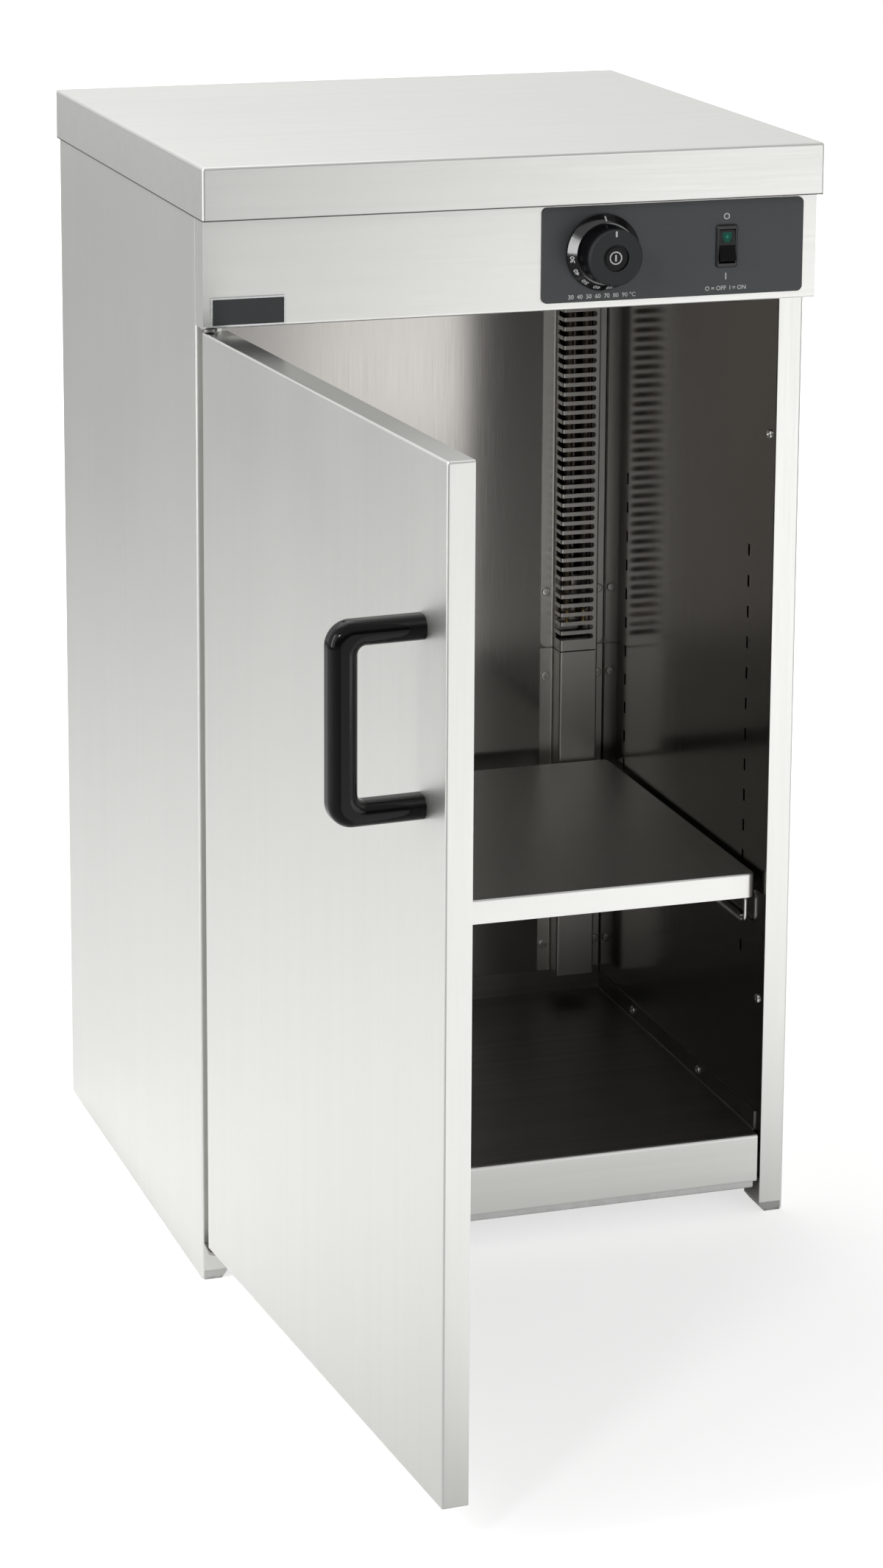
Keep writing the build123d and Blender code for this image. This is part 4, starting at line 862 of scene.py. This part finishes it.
world = bpy.data.worlds.new("studio")
bpy.context.scene.world = world
world.use_nodes = True
world_nodes = world.node_tree.nodes
background = world_nodes["Background"]
ray = world_nodes.new("ShaderNodeLightPath").outputs
seen, glossy = Signal(ray["Is Camera Ray"]), Signal(ray["Is Glossy Ray"])
clear = Signal(ray["Is Transmission Ray"])
way = Signal(world_nodes.new("ShaderNodeTexCoord").outputs["Generated"])
behind = way.along(1).ramp(-0.9, 0.6)
above = way.along(2).ramp(0.15, 0.55)
sideways = way.along(0).ramp(0.45, 0.95)
dim = (1.0 - behind) * (above * 0.5 + sideways * 0.6)
studio = (glossy + clear) * (behind * 0.70 + dim - 0.18) + 0.26
strength = seen.node("ShaderNodeMix", {"data_type": "FLOAT"}, {0: seen, 2: studio, 3: 1.0})
background.inputs["Color"].default_value = (1, 1, 1, 1)
world.node_tree.links.new(strength.socket, background.inputs["Strength"])

for name, place, aim, width, length, power in (
    ("key_lamp", (-1.9, -2.3, 2.25), (0, 0, 0.5), 0.4, 0.4, 12),
    ("left_lamp", (-2.7, -0.9, 1.4), (0, 0, 0.6), 2.2, 2.2, 19),
    ("left_strip", (-2.4, -0.65, 1.2), (0, 0, 0.6), 0.3, 1.6, 10),
    ("right_lamp", (0.98, -2.0, 0.42), (0, 0, 0.45), 0.8, 0.8, 3.3),
    ("top_lamp", (-0.4, 1.2, 3.0), (0, 0, 0.7), 2.4, 2.4, 20),
):
    bpy.ops.object.light_add(type="AREA", location=place)
    lamp = bpy.context.object
    lamp.name = name
    lamp.data.shape = "RECTANGLE"
    lamp.data.size = width
    lamp.data.size_y = length
    lamp.data.energy = power
    lamp.rotation_euler = (Vector(aim) - Vector(place)).to_track_quat("-Z", "Y").to_euler()

# ---- Camera -------------------------------------------------------------------------------------
# It stands in front of the cabinet and to the left, and looks down on it a little, from far enough
# for a long lens. The frame is upright, and the shift keeps the whole cabinet inside it.

bpy.ops.object.camera_add(
    location=(-0.96868, -3.00329, 1.23114),
    rotation=(radians(77.639), radians(-0.304), radians(-18.136)),
)
camera = bpy.context.object
camera.name = "camera"
camera.data.sensor_width = 36.0
camera.data.lens = 98.70
camera.data.shift_y = -0.2
camera.data.dof.use_dof = False
bpy.context.scene.camera = camera
bpy.context.scene.view_settings.view_transform = "Standard"
